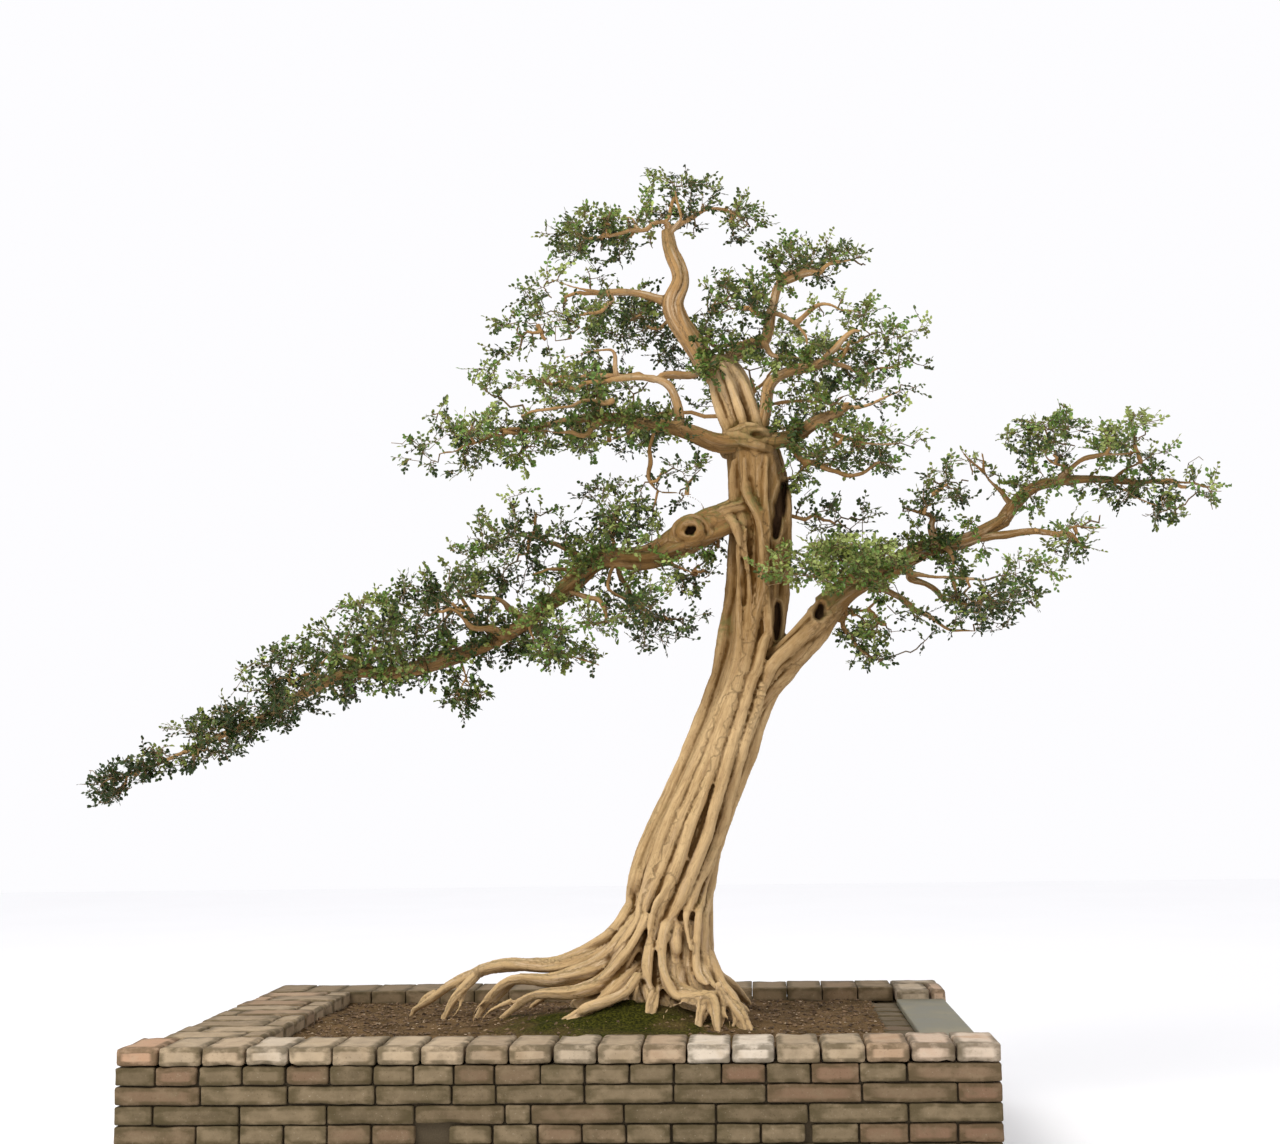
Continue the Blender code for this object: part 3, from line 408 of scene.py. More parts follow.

# Walls: courses of headers, one brick deep, among courses of stretchers one brick wide.
HEADERS = 20                  # in a course of headers
HEADER_COURSES = (0, 3, 6)
LATE_COURSES = (2, 4)         # stretcher courses that start with half a brick
FRONT_CUTS = {                # the four courses that show in front, as shares of a brick's length
    6: [0.47] + [0.5] * 5 + [0.46] * 3 + [0.52] + [0.5] * 3 + [0.53, 0.5, 0.5, 0.54, 0.53, 1.05],
    5: [1.0, 1.0, 1.0, 0.87, 0.5, 1.0, 1.0, 1.04, 1.06, 1.06, 0.5],
    4: [0.45, 1.0, 1.0, 1.0, 1.03, 0.29, 1.05, 1.03, 1.03, 1.11, 1.05],
    3: [0.95] + [0.5] * 5 + [-0.37] + [0.5] * 8 + [-0.05, 0.53, 0.55, 0.54, 0.51],
}
FRONT_REDS = {                # and the redder bricks in them
    6: {4: 0.75, 9: 0.6, 16: 1.0, 18: 0.7}, 5: {0: 0.7, 9: 0.6, 10: 1.0}, 4: {4: 0.5, 6: 0.6},
    3: {0: 0.6, 4: 0.7, 17: 0.8, 18: 1.0},
}
long_walls, side_walls = Bricklayer(), Bricklayer()
for course in range(WALL_COURSES):
    foot, top = course * COURSE, (course + 1) * COURSE
    header = course in HEADER_COURSES
    depth = BRICK_LONG if header else BRICK_WIDE
    stretchers = [0.5] + [1.0] * 9 + [0.5] if course in LATE_COURSES else [1.0] * 10
    across = [0.5] * HEADERS if header else stretchers
    for sign in (-1, 1):
        outer, inner = sign * HALF_DEEP, sign * (HALF_DEEP - depth)
        cuts = FRONT_CUTS.get(course, across) if sign < 0 else across
        long_walls.row(-HALF_LONG, HALF_LONG, cuts, (0, min(outer, inner), foot),
                       (0, max(outer, inner), top), 0, FRONT_REDS.get(course) if sign < 0 else None)
        reach = HALF_DEEP - depth
        halves = round(2 * reach / BRICK_WIDE)
        up = [0.5] * halves if header else [1.0] * (halves // 2) + [0.5] * (halves % 2)
        outer, inner = sign * HALF_LONG, sign * (HALF_LONG - depth)
        side_walls.row(-reach, reach, up if sign > 0 else up[::-1], (min(outer, inner), 0, foot),
                       (max(outer, inner), 0, top), 1)
long_courses = long_walls.finish("long_wall_bricks", BRICK_FINISH, "brick")
side_courses = side_walls.finish("side_wall_bricks", BRICK_FINISH, "brick")
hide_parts("floor_course", "wall_front", "wall_back")
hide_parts("wall_left", "wall_right")

# Bedding: the sand and rubble that fill the walls, seen only as darkness in the open joints.
BEDDING_INSET = 0.022
bedding_high = Vector((HALF_LONG - BEDDING_INSET, HALF_DEEP - BEDDING_INSET, COPING_FOOT - 0.010))
bedding_low = Vector((-bedding_high.x, -bedding_high.y, 0.006))
sand = Finish("bedding_sand", roughness=1.0)
sand_grain = sand.clouds(sand.place(), 240.0)
sand.wear(sand.mix(sand_grain, (0.045, 0.032, 0.016), (0.095, 0.070, 0.040)), height=sand_grain)
block("wall_bedding", bedding_low, bedding_high, 0.006, 2, sand.material, "brick")

# Coping: paler bricks with rounder arrises. Headers run along the front and the back, rows of one
# and a half bricks along the left, and loose ones sit on the back right corner.
CHALKY = {3: 0.5, 10: 0.3, 13: 0.9, 14: 0.95, 18: 0.5, 19: 0.7}     # how pale some front bricks are
RUSTY = {0: 1.0, 2: 0.5, 12: 0.6, 17: 0.7, 18: 1.0, 19: 0.9}        # and how red
COPING_MIDDLE, COPING_HIGH = (COPING_FOOT + RIM) / 2, COURSE - 0.001
BACK_BRICKS, BACK_START, BACK_PROUD = 18, 0.06, 0.008
LEFT_ROWS, LEFT_SPLIT = 9, 0.075
LEFT_LOW, LEFT_HIGH = -HALF_LONG + 0.050, -HALF_LONG + 0.353
CORNER_BRICKS = (             # from and to along X and Y, and how red
    ((1.031, 0.503), (1.145, 0.735), 0.35), ((1.147, 0.506), (1.199, 0.738), 0.9),
    ((1.031, 0.738), (1.195, 0.852), 0.2),
)
coping = Bricklayer()
header_pitch = 2 * HALF_LONG / HEADERS
for number in range(HEADERS):
    lift = brick_chance.uniform(-0.0012, 0.0)
    set_back = brick_chance.uniform(0.0, 0.003)
    warm = RUSTY.get(number, brick_chance.uniform(0.0, 0.5))
    middle = (-HALF_LONG + (number + 0.5) * header_pitch, -HALF_DEEP + BRICK_LONG / 2 + set_back)
    coping.lay((*middle, COPING_MIDDLE + lift), (header_pitch - JOINT, BRICK_LONG - JOINT, COPING_HIGH),
               warm, CHALKY.get(number, 0.12), worn=0.008)
# The back coping is laid dark: painted shade from the tree over it.
for number in range(BACK_BRICKS):
    middle = (-HALF_LONG + BACK_START + (number + 0.5) * BRICK_WIDE, HALF_DEEP + BACK_PROUD - BRICK_LONG / 2)
    coping.lay((*middle, COPING_MIDDLE - brick_chance.uniform(0.0, 0.002)),
               (BRICK_WIDE - 0.0008, BRICK_LONG - JOINT, COPING_HIGH), worn=0.004, dark=1.0)
left_start, left_stop = -HALF_DEEP + BRICK_LONG, HALF_DEEP - BRICK_LONG + BACK_PROUD
left_pitch = (left_stop - left_start) / LEFT_ROWS
for number in range(LEFT_ROWS):
    middle = left_start + (number + 0.5) * left_pitch
    split = LEFT_LOW + LEFT_SPLIT if number % 3 == 1 else LEFT_HIGH - LEFT_SPLIT
    for low, high in ((LEFT_LOW, split), (split, LEFT_HIGH)):
        shift = brick_chance.uniform(0.0, 0.010) if low == LEFT_LOW else 0.0
        drop = brick_chance.uniform(0.0, 0.004)
        coping.lay(((low + high) / 2 + shift / 2, middle, COPING_MIDDLE - drop),
                   (high - low - JOINT - shift, left_pitch - JOINT, COPING_HIGH), pale=0.05, worn=0.007,
                   loose=2.0, dark=0.3)
for low, high, warm in CORNER_BRICKS:
    coping.lay(((low[0] + high[0]) / 2, (low[1] + high[1]) / 2, COPING_MIDDLE),
               (high[0] - low[0] - JOINT, high[1] - low[1] - JOINT, COPING_HIGH), warm, 0.3, worn=0.008)
coping_bricks = coping.finish("coping_bricks", COPING_FINISH, "coping_brick")
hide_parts("coping_front", "coping_left", "coping_back", "corner_bricks")

# Right-hand top: its coping is off, so the bed shows a row of bricks inside and a smooth grey slab.
STRIP_BRICKS, STRIP_MIDDLE, STRIP_WIDE, STRIP_STOP = 9, 0.984, 0.096, 0.50
inner_strip = Bricklayer()
strip_pitch = (STRIP_STOP + HALF_DEEP - BRICK_LONG) / STRIP_BRICKS
for number in range(STRIP_BRICKS):
    middle = -HALF_DEEP + BRICK_LONG + (number + 0.5) * strip_pitch
    inner_strip.lay((STRIP_MIDDLE, middle, COPING_FOOT - COURSE / 2 + 0.012),
                    (STRIP_WIDE, strip_pitch - JOINT, COURSE - 0.004), worn=0.008, loose=2.0, dark=0.9)
inner_strip.finish("inner_strip_bricks", BRICK_FINISH, "brick")

slate = Finish("grey_slab")
slate_place = slate.place()
slate_cloud = slate.clouds(slate_place, 7.0, 6.0)
slate_fine = slate.clouds(slate.stretched(slate_place, (1.0, 0.3, 1.0)), 55.0, 5.0)
slate_colour = slate.mix(slate_cloud.ramp(0.3, 0.7), (0.125, 0.116, 0.074), (0.225, 0.202, 0.132))
slate_colour = slate.mix(slate_fine.ramp(0.6, 0.8) * 0.5, slate_colour, (0.085, 0.080, 0.045))
slate.wear(slate_colour, slate_cloud.ramp(0.3, 0.7, 0.55, 0.8), slate_fine, 0.3, 0.001)
slab = block("grey_slab", *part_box("side_slab"), 0.005, 3, slate.material, "slate")
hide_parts("side_slab")


# ---- soil -------------------------------------------------------------------------------------------
# Crumbly red-brown earth, higher round the roots and a little lower along the bricks, with clods and
# pale crumbs on it and a cushion of moss in front of the roots.
SOIL_X, SOIL_Y = (-0.86, 0.945), (-0.608, 0.612)
SOIL_EDGE, MOUND_RISE, HEEL_RISE = 0.374, 0.032, 0.055
MOUND = (0.05, -0.02, 0.55, 0.40)           # middle and reach of the mound round the roots
HEEL = (0.20, -0.17, 0.30, 0.17)            # of the steeper one at the trunk's foot
MOSS_PATCH = (0.10, -0.30, 0.36, 0.27)      # and of the moss
STEPS_X, STEPS_Y = 240, 160
soil_chance = np.random.default_rng(5)


def soil_height(x, y):
    """Height of the earth at a place."""
    points = np.stack([x, y, np.zeros_like(x)], axis=1)
    mound, heel = (np.exp(-((x - middle_x) / reach_x) ** 2 - ((y - middle_y) / reach_y) ** 2)
                   for middle_x, middle_y, reach_x, reach_y in (MOUND, HEEL))
    clods = noise_at(points, 9.0) * 0.004 + noise_at(points, 28.0) * 0.0035 + noise_at(points, 80.0) * 0.0022
    return SOIL_EDGE + MOUND_RISE * mound + HEEL_RISE * heel + clods


def moss_share(x, y):
    """1 in the cushion of moss, falling to 0 round its ragged edge."""
    points = np.stack([x, y, np.zeros_like(x)], axis=1)
    away = np.hypot((x - MOSS_PATCH[0]) / MOSS_PATCH[2], (y - MOSS_PATCH[1]) / MOSS_PATCH[3])
    return np.clip(1.6 - 1.3 * away + 0.55 * noise_at(points, 18.0, 4), 0, 1)


grid_x, grid_y = np.meshgrid(np.linspace(*SOIL_X, STEPS_X), np.linspace(*SOIL_Y, STEPS_Y), indexing="ij")
flat_x, flat_y = grid_x.ravel(), grid_y.ravel()
moss = moss_share(flat_x, flat_y)
soil_points = np.stack([flat_x, flat_y, soil_height(flat_x, flat_y) + 0.006 * moss], axis=1)
corner = (np.arange(STEPS_X - 1)[:, None] * STEPS_Y + np.arange(STEPS_Y - 1)[None, :]).ravel()
soil_faces = np.stack([corner, corner + STEPS_Y, corner + STEPS_Y + 1, corner + 1], axis=1)
earth = Finish("earth", roughness=1.0, Specular_IOR_Level=0.1)
earth_place = earth.place()
earth_cloud = earth.clouds(earth_place, 11.0, 6.0)
earth_grain = earth.clouds(earth_place, 130.0, 5.0, 0.7)
earth_colour = earth.mix(earth_cloud.ramp(0.3, 0.7), (0.070, 0.042, 0.016), (0.170, 0.104, 0.046))
earth_colour = earth.mix(earth_grain.ramp(0.55, 0.72) * 0.7, earth_colour, (0.27, 0.18, 0.10))
earth_colour = earth.mix(earth_grain.ramp(0.45, 0.30) * 0.8, earth_colour, (0.020, 0.012, 0.005))
green = earth.mix(earth_grain.ramp(0.4, 0.65), (0.014, 0.015, 0.001), (0.078, 0.076, 0.008))
earth_colour = earth.mix(earth.own("moss"), earth_colour, green)
earth.wear(earth_colour, None, earth_grain, 0.9, 0.006)
bed = array_object("soil_bed", soil_points, soil_faces, earth.material, "soil", moss=moss)
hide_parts("soil")

# Clods and crumbs: small lumps of earth, bits of bark and pale fallen leaf.
LUMP_POINTS = np.array([(1.0, 0.0, 0.0), (-0.4, 0.8, 0.1), (-0.5, -0.7, 0.0), (0.1, 0.1, 0.7),
                        (0.1, 0.0, -0.5)])
LUMP_FACES = np.array([(0, 1, 3), (1, 2, 3), (2, 0, 3), (1, 0, 4), (2, 1, 4), (0, 2, 4)])


def rotated(points, angle):
    """The same points, turned about Z."""
    x, y = points[..., 0], points[..., 1]
    return np.stack([x * np.cos(angle) - y * np.sin(angle), x * np.sin(angle) + y * np.cos(angle),
                     points[..., 2]], axis=-1)


def copies(pattern, size, count):
    """The faces of many like things, whose points follow on in runs of the given size."""
    return (pattern[None] + size * np.arange(count)[:, None, None]).reshape(-1, 3)


def scatter(count, smallest, largest, flat=0.7):
    """Points and faces of many small lumps lying on the earth."""
    x, y = soil_chance.uniform(*SOIL_X, count), soil_chance.uniform(*SOIL_Y, count)
    size = smallest + (largest - smallest) * soil_chance.random(count) ** 3
    turn = soil_chance.uniform(0, 2 * math.pi, count)
    shape = LUMP_POINTS[None] * soil_chance.uniform(0.6, 1.2, (count, 5, 3)) * size[:, None, None]
    ground = np.stack([x, y, soil_height(x, y) + 0.2 * size], axis=1)
    points = rotated(shape, turn[:, None]) * (1, 1, flat) + ground[:, None, :]
    return points.reshape(-1, 3), copies(LUMP_FACES, len(LUMP_POINTS), count)


def mottled(name, scale, first, second, roughness=0.8, strength=0.4, distance=0.002):
    """A plain finish: clouds of two colours, with a relief to match."""
    paint = Finish(name, roughness)
    cloud = paint.clouds(paint.place(), scale)
    colour = paint.mix(cloud.ramp(0.35, 0.65), first, second)
    return paint.wear(colour, None, cloud, strength, distance)


CLOD_FINISH = mottled("clods", 45.0, (0.060, 0.036, 0.018), (0.200, 0.125, 0.065), roughness=1.0)
FLECK_FINISH = mottled("flecks", 60.0, (0.34, 0.21, 0.11), (0.60, 0.47, 0.32))
array_object("soil_clods", *scatter(6000, 0.003, 0.014), CLOD_FINISH, "soil", smooth=False)
array_object("soil_flecks", *scatter(900, 0.003, 0.010, 0.35), FLECK_FINISH, "soil", smooth=False)


# ---- trunk, roots and boughs ------------------------------------------------------------------------
# Living wood: sinewy strands that have grown together, run down into the roots and out along the
# boughs, and leave deep grooves, knots and old hollows between them. Each row is (x, y, z, radius).
SEED = 11
TRUNK_SPINE = [                             # through the middle of the trunk, up to the broken stub
    (0.285, 0.01, 0.36, 0.135), (0.292, 0.00, 0.60, 0.134), (0.294, 0.00, 0.80, 0.137),
    (0.350, -0.01, 0.98, 0.124), (0.458, -0.02, 1.22, 0.118), (0.545, -0.01, 1.46, 0.109),
    (0.585, 0.00, 1.73, 0.101), (0.604, 0.00, 1.98, 0.102), (0.586, 0.00, 2.18, 0.092),
    (0.545, 0.00, 2.30, 0.072), (0.510, 0.00, 2.42, 0.070), (0.470, 0.00, 2.50, 0.050),
]
WHORL = (0.572, 0.00, 2.228, 0.105)         # the swollen ring where four boughs leave
FORK = [                                    # the trunk's side of the fork with the right bough
    (0.560, -0.01, 1.370, 0.046), (0.650, -0.03, 1.495, 0.056), (0.745, -0.04, 1.592, 0.056),
    (0.830, -0.04, 1.695, 0.052),
]
ELBOW = [                                   # and with the left bough
    (0.600, 0.00, 1.945, 0.052), (0.545, -0.02, 1.985, 0.054), (0.475, -0.04, 1.962, 0.055),
]

ROOTS = {                                   # from the trunk down to the earth
    "long_left": [
        (0.23, -0.02, 0.760, 0.046), (0.10, -0.02, 0.632, 0.040), (-0.06, -0.02, 0.562, 0.036),
        (-0.25, 0.05, 0.558, 0.032), (-0.41, 0.12, 0.492, 0.027), (-0.56, 0.19, 0.400, 0.017),
    ],
    "long_left_toe": [
        (-0.32, 0.08, 0.535, 0.024), (-0.40, 0.05, 0.460, 0.020), (-0.44, 0.04, 0.390, 0.016),
    ],
    "left_ridge": [
        (0.21, -0.06, 0.740, 0.045), (0.10, -0.09, 0.585, 0.038), (-0.05, -0.10, 0.524, 0.032),
        (-0.20, -0.07, 0.522, 0.028), (-0.28, -0.03, 0.460, 0.023), (-0.33, 0.00, 0.390, 0.016),
    ],
    "left_front": [
        (0.22, -0.09, 0.700, 0.044), (0.12, -0.14, 0.540, 0.034), (0.00, -0.18, 0.489, 0.029),
        (-0.13, -0.17, 0.480, 0.023), (-0.23, -0.14, 0.410, 0.016),
    ],
    "blunt": [
        (0.20, -0.10, 0.580, 0.040), (0.10, -0.20, 0.465, 0.037), (0.03, -0.25, 0.430, 0.033),
        (-0.02, -0.27, 0.408, 0.026),
    ],
    "middle": [
        (0.24, -0.08, 0.700, 0.044), (0.23, -0.16, 0.530, 0.037), (0.24, -0.24, 0.460, 0.026),
        (0.23, -0.29, 0.400, 0.018),
    ],
    "bow": [
        (0.30, -0.09, 0.700, 0.046), (0.30, -0.18, 0.520, 0.038), (0.36, -0.26, 0.480, 0.031),
        (0.42, -0.29, 0.475, 0.025), (0.44, -0.35, 0.390, 0.015),
    ],
    "bow_toe": [
        (0.40, -0.27, 0.480, 0.020), (0.385, -0.31, 0.435, 0.016), (0.38, -0.34, 0.390, 0.013),
    ],
    "right_front": [
        (0.36, -0.06, 0.660, 0.044), (0.43, -0.16, 0.515, 0.037), (0.48, -0.23, 0.475, 0.028),
        (0.51, -0.27, 0.445, 0.022), (0.54, -0.32, 0.390, 0.015),
    ],
    "right_toe": [
        (0.46, -0.21, 0.480, 0.020), (0.50, -0.28, 0.430, 0.016), (0.515, -0.31, 0.390, 0.013),
    ],
    "right": [
        (0.35, 0.02, 0.640, 0.046), (0.40, 0.06, 0.510, 0.036), (0.46, 0.11, 0.440, 0.027),
        (0.52, 0.15, 0.390, 0.018),
    ],
    "back_right": [
        (0.35, 0.08, 0.680, 0.046), (0.41, 0.19, 0.520, 0.038), (0.48, 0.31, 0.455, 0.029),
        (0.53, 0.42, 0.390, 0.017),
    ],
    "back": [
        (0.27, 0.08, 0.700, 0.046), (0.25, 0.20, 0.530, 0.038), (0.27, 0.33, 0.470, 0.030),
        (0.24, 0.45, 0.390, 0.017),
    ],
    "back_left": [
        (0.20, 0.06, 0.720, 0.046), (0.08, 0.16, 0.550, 0.038), (-0.04, 0.27, 0.490, 0.030),
        (-0.19, 0.36, 0.390, 0.018),
    ],
}

# The boughs: what each grows from, and (x, y, z, radius) along it.
LIMBS = {
    "left_bough_inner": ("trunk", [
        (0.490, -0.04, 1.965, 0.053), (0.418, -0.06, 1.933, 0.058), (0.350, -0.07, 1.897, 0.054),
        (0.235, -0.08, 1.842, 0.040), (0.085, -0.06, 1.838, 0.035), (0.010, -0.06, 1.780, 0.033),
        (-0.060, -0.05, 1.716, 0.029),
    ]),
    "left_bough_outer": ("left_bough_inner", [
        (-0.050, -0.05, 1.722, 0.028), (-0.210, -0.05, 1.612, 0.026), (-0.370, -0.08, 1.538, 0.026),
        (-0.560, -0.10, 1.488, 0.022), (-0.740, -0.10, 1.480, 0.018), (-1.020, -0.08, 1.346, 0.014),
        (-1.260, -0.06, 1.245, 0.009), (-1.355, -0.06, 1.205, 0.007),
    ]),
    "right_bough_inner": ("trunk", [
        (0.800, -0.04, 1.665, 0.050), (0.890, -0.03, 1.745, 0.046), (1.010, -0.01, 1.800, 0.035),
        (1.130, 0.00, 1.862, 0.031), (1.260, 0.00, 1.886, 0.027), (1.385, 0.00, 1.952, 0.026),
    ]),
    "right_bough_outer": ("right_bough_inner", [
        (1.375, 0.00, 1.945, 0.024), (1.423, 0.00, 2.008, 0.021), (1.500, 0.01, 2.060, 0.019),
        (1.657, 0.03, 2.079, 0.015), (1.800, 0.04, 2.068, 0.012), (1.880, 0.04, 2.070, 0.009),
    ]),
    "mid_left_bough": ("trunk", [
        (0.556, -0.03, 2.225, 0.037), (0.470, -0.05, 2.212, 0.033), (0.352, -0.08, 2.254, 0.027),
        (0.220, -0.08, 2.276, 0.021), (0.137, -0.08, 2.295, 0.018), (0.000, -0.10, 2.290, 0.013),
        (-0.130, -0.11, 2.258, 0.009),
    ]),
    "mid_right_bough": ("trunk", [
        (0.600, -0.02, 2.220, 0.031), (0.701, -0.04, 2.226, 0.027), (0.790, -0.06, 2.272, 0.020),
        (0.870, -0.07, 2.302, 0.014),
    ]),
    "upper_right_bough": ("trunk", [
        (0.600, -0.02, 2.215, 0.025), (0.624, -0.03, 2.320, 0.023), (0.640, -0.04, 2.402, 0.023),
        (0.700, -0.05, 2.440, 0.020), (0.770, -0.05, 2.453, 0.018), (0.830, -0.04, 2.470, 0.014),
    ]),
    "leader": ("trunk", [
        (0.480, 0.02, 2.420, 0.040), (0.400, 0.03, 2.550, 0.037), (0.330, 0.01, 2.675, 0.037),
        (0.355, 0.00, 2.770, 0.030), (0.325, 0.00, 2.870, 0.027), (0.315, 0.00, 2.935, 0.022),
    ]),
    "crown_right_bough": ("trunk", [
        (0.470, 0.03, 2.470, 0.024), (0.563, 0.06, 2.550, 0.023), (0.630, 0.07, 2.580, 0.022),
        (0.658, 0.08, 2.690, 0.017), (0.690, 0.08, 2.785, 0.015), (0.745, 0.08, 2.803, 0.012),
    ]),
    "upper_left_bough": ("leader", [
        (0.345, 0.01, 2.685, 0.020), (0.271, 0.00, 2.708, 0.018), (0.190, -0.02, 2.724, 0.015),
        (0.090, -0.03, 2.722, 0.012),
    ]),
    "fourth_left_bough": ("mid_left_bough", [
        (0.352, -0.08, 2.250, 0.018), (0.342, -0.08, 2.330, 0.017), (0.310, -0.10, 2.398, 0.015),
        (0.230, -0.12, 2.418, 0.013), (0.130, -0.13, 2.409, 0.010),
    ]),
    "back_bough": ("trunk", [
        (0.570, 0.03, 2.225, 0.033), (0.560, 0.13, 2.250, 0.027), (0.520, 0.24, 2.330, 0.020),
        (0.555, 0.31, 2.400, 0.014),
    ]),
}

# The strands that show on the front, from the crown down into the roots.
STRANDS = {
    "left_edge": [
        (0.510, 0.00, 1.93, 0.017), (0.500, -0.02, 1.74, 0.019), (0.485, -0.00, 1.66, 0.019),
        (0.473, -0.02, 1.58, 0.020), (0.458, -0.01, 1.50, 0.021), (0.435, -0.01, 1.42, 0.021),
        (0.345, -0.02, 1.20, 0.022), (0.215, -0.01, 0.91, 0.024), (0.190, -0.04, 0.83, 0.024),
        (0.174, 0.00, 0.76, 0.024), (0.143, -0.05, 0.70, 0.024), (0.083, -0.03, 0.64, 0.025),
        (-0.060, -0.01, 0.57, 0.025), (-0.314, 0.09, 0.53, 0.021), (-0.503, 0.19, 0.45, 0.011),
    ],
    "second": [
        (0.533, -0.07, 1.92, 0.013), (0.524, -0.07, 1.75, 0.015), (0.526, -0.09, 1.57, 0.017),
        (0.476, -0.10, 1.38, 0.018), (0.301, -0.10, 1.02, 0.018), (0.210, -0.09, 0.77, 0.020),
        (0.196, -0.12, 0.71, 0.021), (0.164, -0.12, 0.65, 0.021), (0.117, -0.11, 0.59, 0.021),
        (0.058, -0.10, 0.56, 0.021), (-0.068, -0.09, 0.53, 0.019), (-0.154, -0.07, 0.53, 0.018),
        (-0.202, -0.05, 0.51, 0.018), (-0.265, -0.03, 0.44, 0.018),
    ],
    "third": [
        (0.490, -0.12, 1.38, 0.008), (0.414, -0.12, 1.19, 0.015), (0.226, -0.10, 0.77, 0.017),
        (0.218, -0.14, 0.71, 0.018), (0.155, -0.16, 0.60, 0.021), (0.057, -0.17, 0.51, 0.020),
        (-0.121, -0.16, 0.49, 0.015), (-0.216, -0.13, 0.45, 0.013),
    ],
    "pillar": [
        (0.548, -0.07, 2.16, 0.016), (0.557, -0.08, 2.05, 0.016), (0.604, -0.09, 1.91, 0.016),
        (0.580, -0.09, 1.65, 0.019), (0.439, -0.12, 1.19, 0.019), (0.270, -0.12, 0.75, 0.019),
        (0.225, -0.19, 0.58, 0.024), (0.244, -0.23, 0.48, 0.012),
    ],
    "bow": [
        (0.628, -0.07, 2.16, 0.013), (0.620, -0.09, 2.05, 0.013), (0.616, -0.08, 1.62, 0.016),
        (0.599, -0.09, 1.55, 0.018), (0.481, -0.12, 1.19, 0.019), (0.405, -0.10, 0.95, 0.020),
        (0.304, -0.12, 0.72, 0.020), (0.283, -0.17, 0.68, 0.020), (0.271, -0.18, 0.63, 0.020),
        (0.270, -0.21, 0.57, 0.020), (0.290, -0.23, 0.52, 0.020), (0.327, -0.26, 0.48, 0.020),
        (0.424, -0.28, 0.50, 0.016),
    ],
    "right_mid": [
        (0.671, 0.00, 2.14, 0.018), (0.689, -0.01, 1.95, 0.019), (0.662, -0.00, 1.63, 0.018),
        (0.618, -0.07, 1.47, 0.017), (0.550, -0.10, 1.29, 0.017), (0.518, -0.10, 1.19, 0.018),
        (0.449, -0.05, 0.96, 0.018), (0.357, -0.11, 0.75, 0.014), (0.345, -0.15, 0.71, 0.013),
        (0.360, -0.18, 0.61, 0.012),
    ],
    "right_edge": [
        (0.843, -0.05, 1.66, 0.030), (0.778, -0.05, 1.57, 0.032), (0.682, -0.04, 1.48, 0.030),
        (0.612, -0.01, 1.38, 0.024), (0.553, -0.02, 1.20, 0.021), (0.458, -0.01, 0.97, 0.021),
        (0.423, -0.00, 0.82, 0.020), (0.412, -0.03, 0.76, 0.020), (0.397, -0.09, 0.70, 0.020),
        (0.392, -0.14, 0.58, 0.020), (0.407, -0.19, 0.54, 0.018), (0.456, -0.26, 0.48, 0.014),
    ],
    "fork_upper": [
        (0.860, -0.06, 1.71, 0.026), (0.806, -0.07, 1.64, 0.027), (0.643, -0.10, 1.51, 0.021),
        (0.609, -0.08, 1.44, 0.017), (0.560, -0.10, 1.30, 0.009),
    ],
    "inner_right": [
        (0.449, -0.04, 0.92, 0.008), (0.397, -0.07, 0.77, 0.014), (0.384, -0.14, 0.71, 0.015),
        (0.374, -0.17, 0.59, 0.015), (0.382, -0.20, 0.54, 0.015), (0.408, -0.23, 0.51, 0.014),
    ],
    "knot": [
        (0.316, -0.13, 0.70, 0.020), (0.313, -0.15, 0.65, 0.026), (0.316, -0.17, 0.60, 0.022),
    ],
    "sliver": [
        (0.290, -0.13, 0.83, 0.007), (0.276, -0.13, 0.79, 0.010), (0.247, -0.14, 0.74, 0.011),
        (0.227, -0.17, 0.65, 0.009),
    ],
    "inner_up": [
        (0.554, -0.09, 1.93, 0.008), (0.557, -0.09, 1.69, 0.010), (0.547, -0.11, 1.58, 0.006),
    ],
    "upper_left": [
        (0.516, -0.04, 2.16, 0.014), (0.514, -0.03, 2.06, 0.014), (0.544, -0.07, 1.94, 0.013),
        (0.548, -0.09, 1.79, 0.007),
    ],
    "elbow_top": [
        (0.537, -0.10, 1.87, 0.012), (0.516, -0.09, 1.94, 0.017), (0.478, -0.06, 1.98, 0.020),
        (0.439, -0.06, 1.98, 0.020), (0.398, -0.07, 1.96, 0.018),
    ],
    "stub_a": [
        (0.443, 0.00, 2.45, 0.014), (0.488, -0.02, 2.29, 0.016), (0.512, -0.04, 2.23, 0.016),
    ],
    "stub_b": [
        (0.478, -0.04, 2.49, 0.012), (0.512, -0.06, 2.41, 0.014), (0.557, -0.07, 2.25, 0.015),
    ],
    "stub_c": [
        (0.522, 0.00, 2.49, 0.011), (0.560, -0.04, 2.40, 0.013), (0.587, -0.04, 2.31, 0.014),
        (0.605, -0.06, 2.24, 0.014),
    ],
}
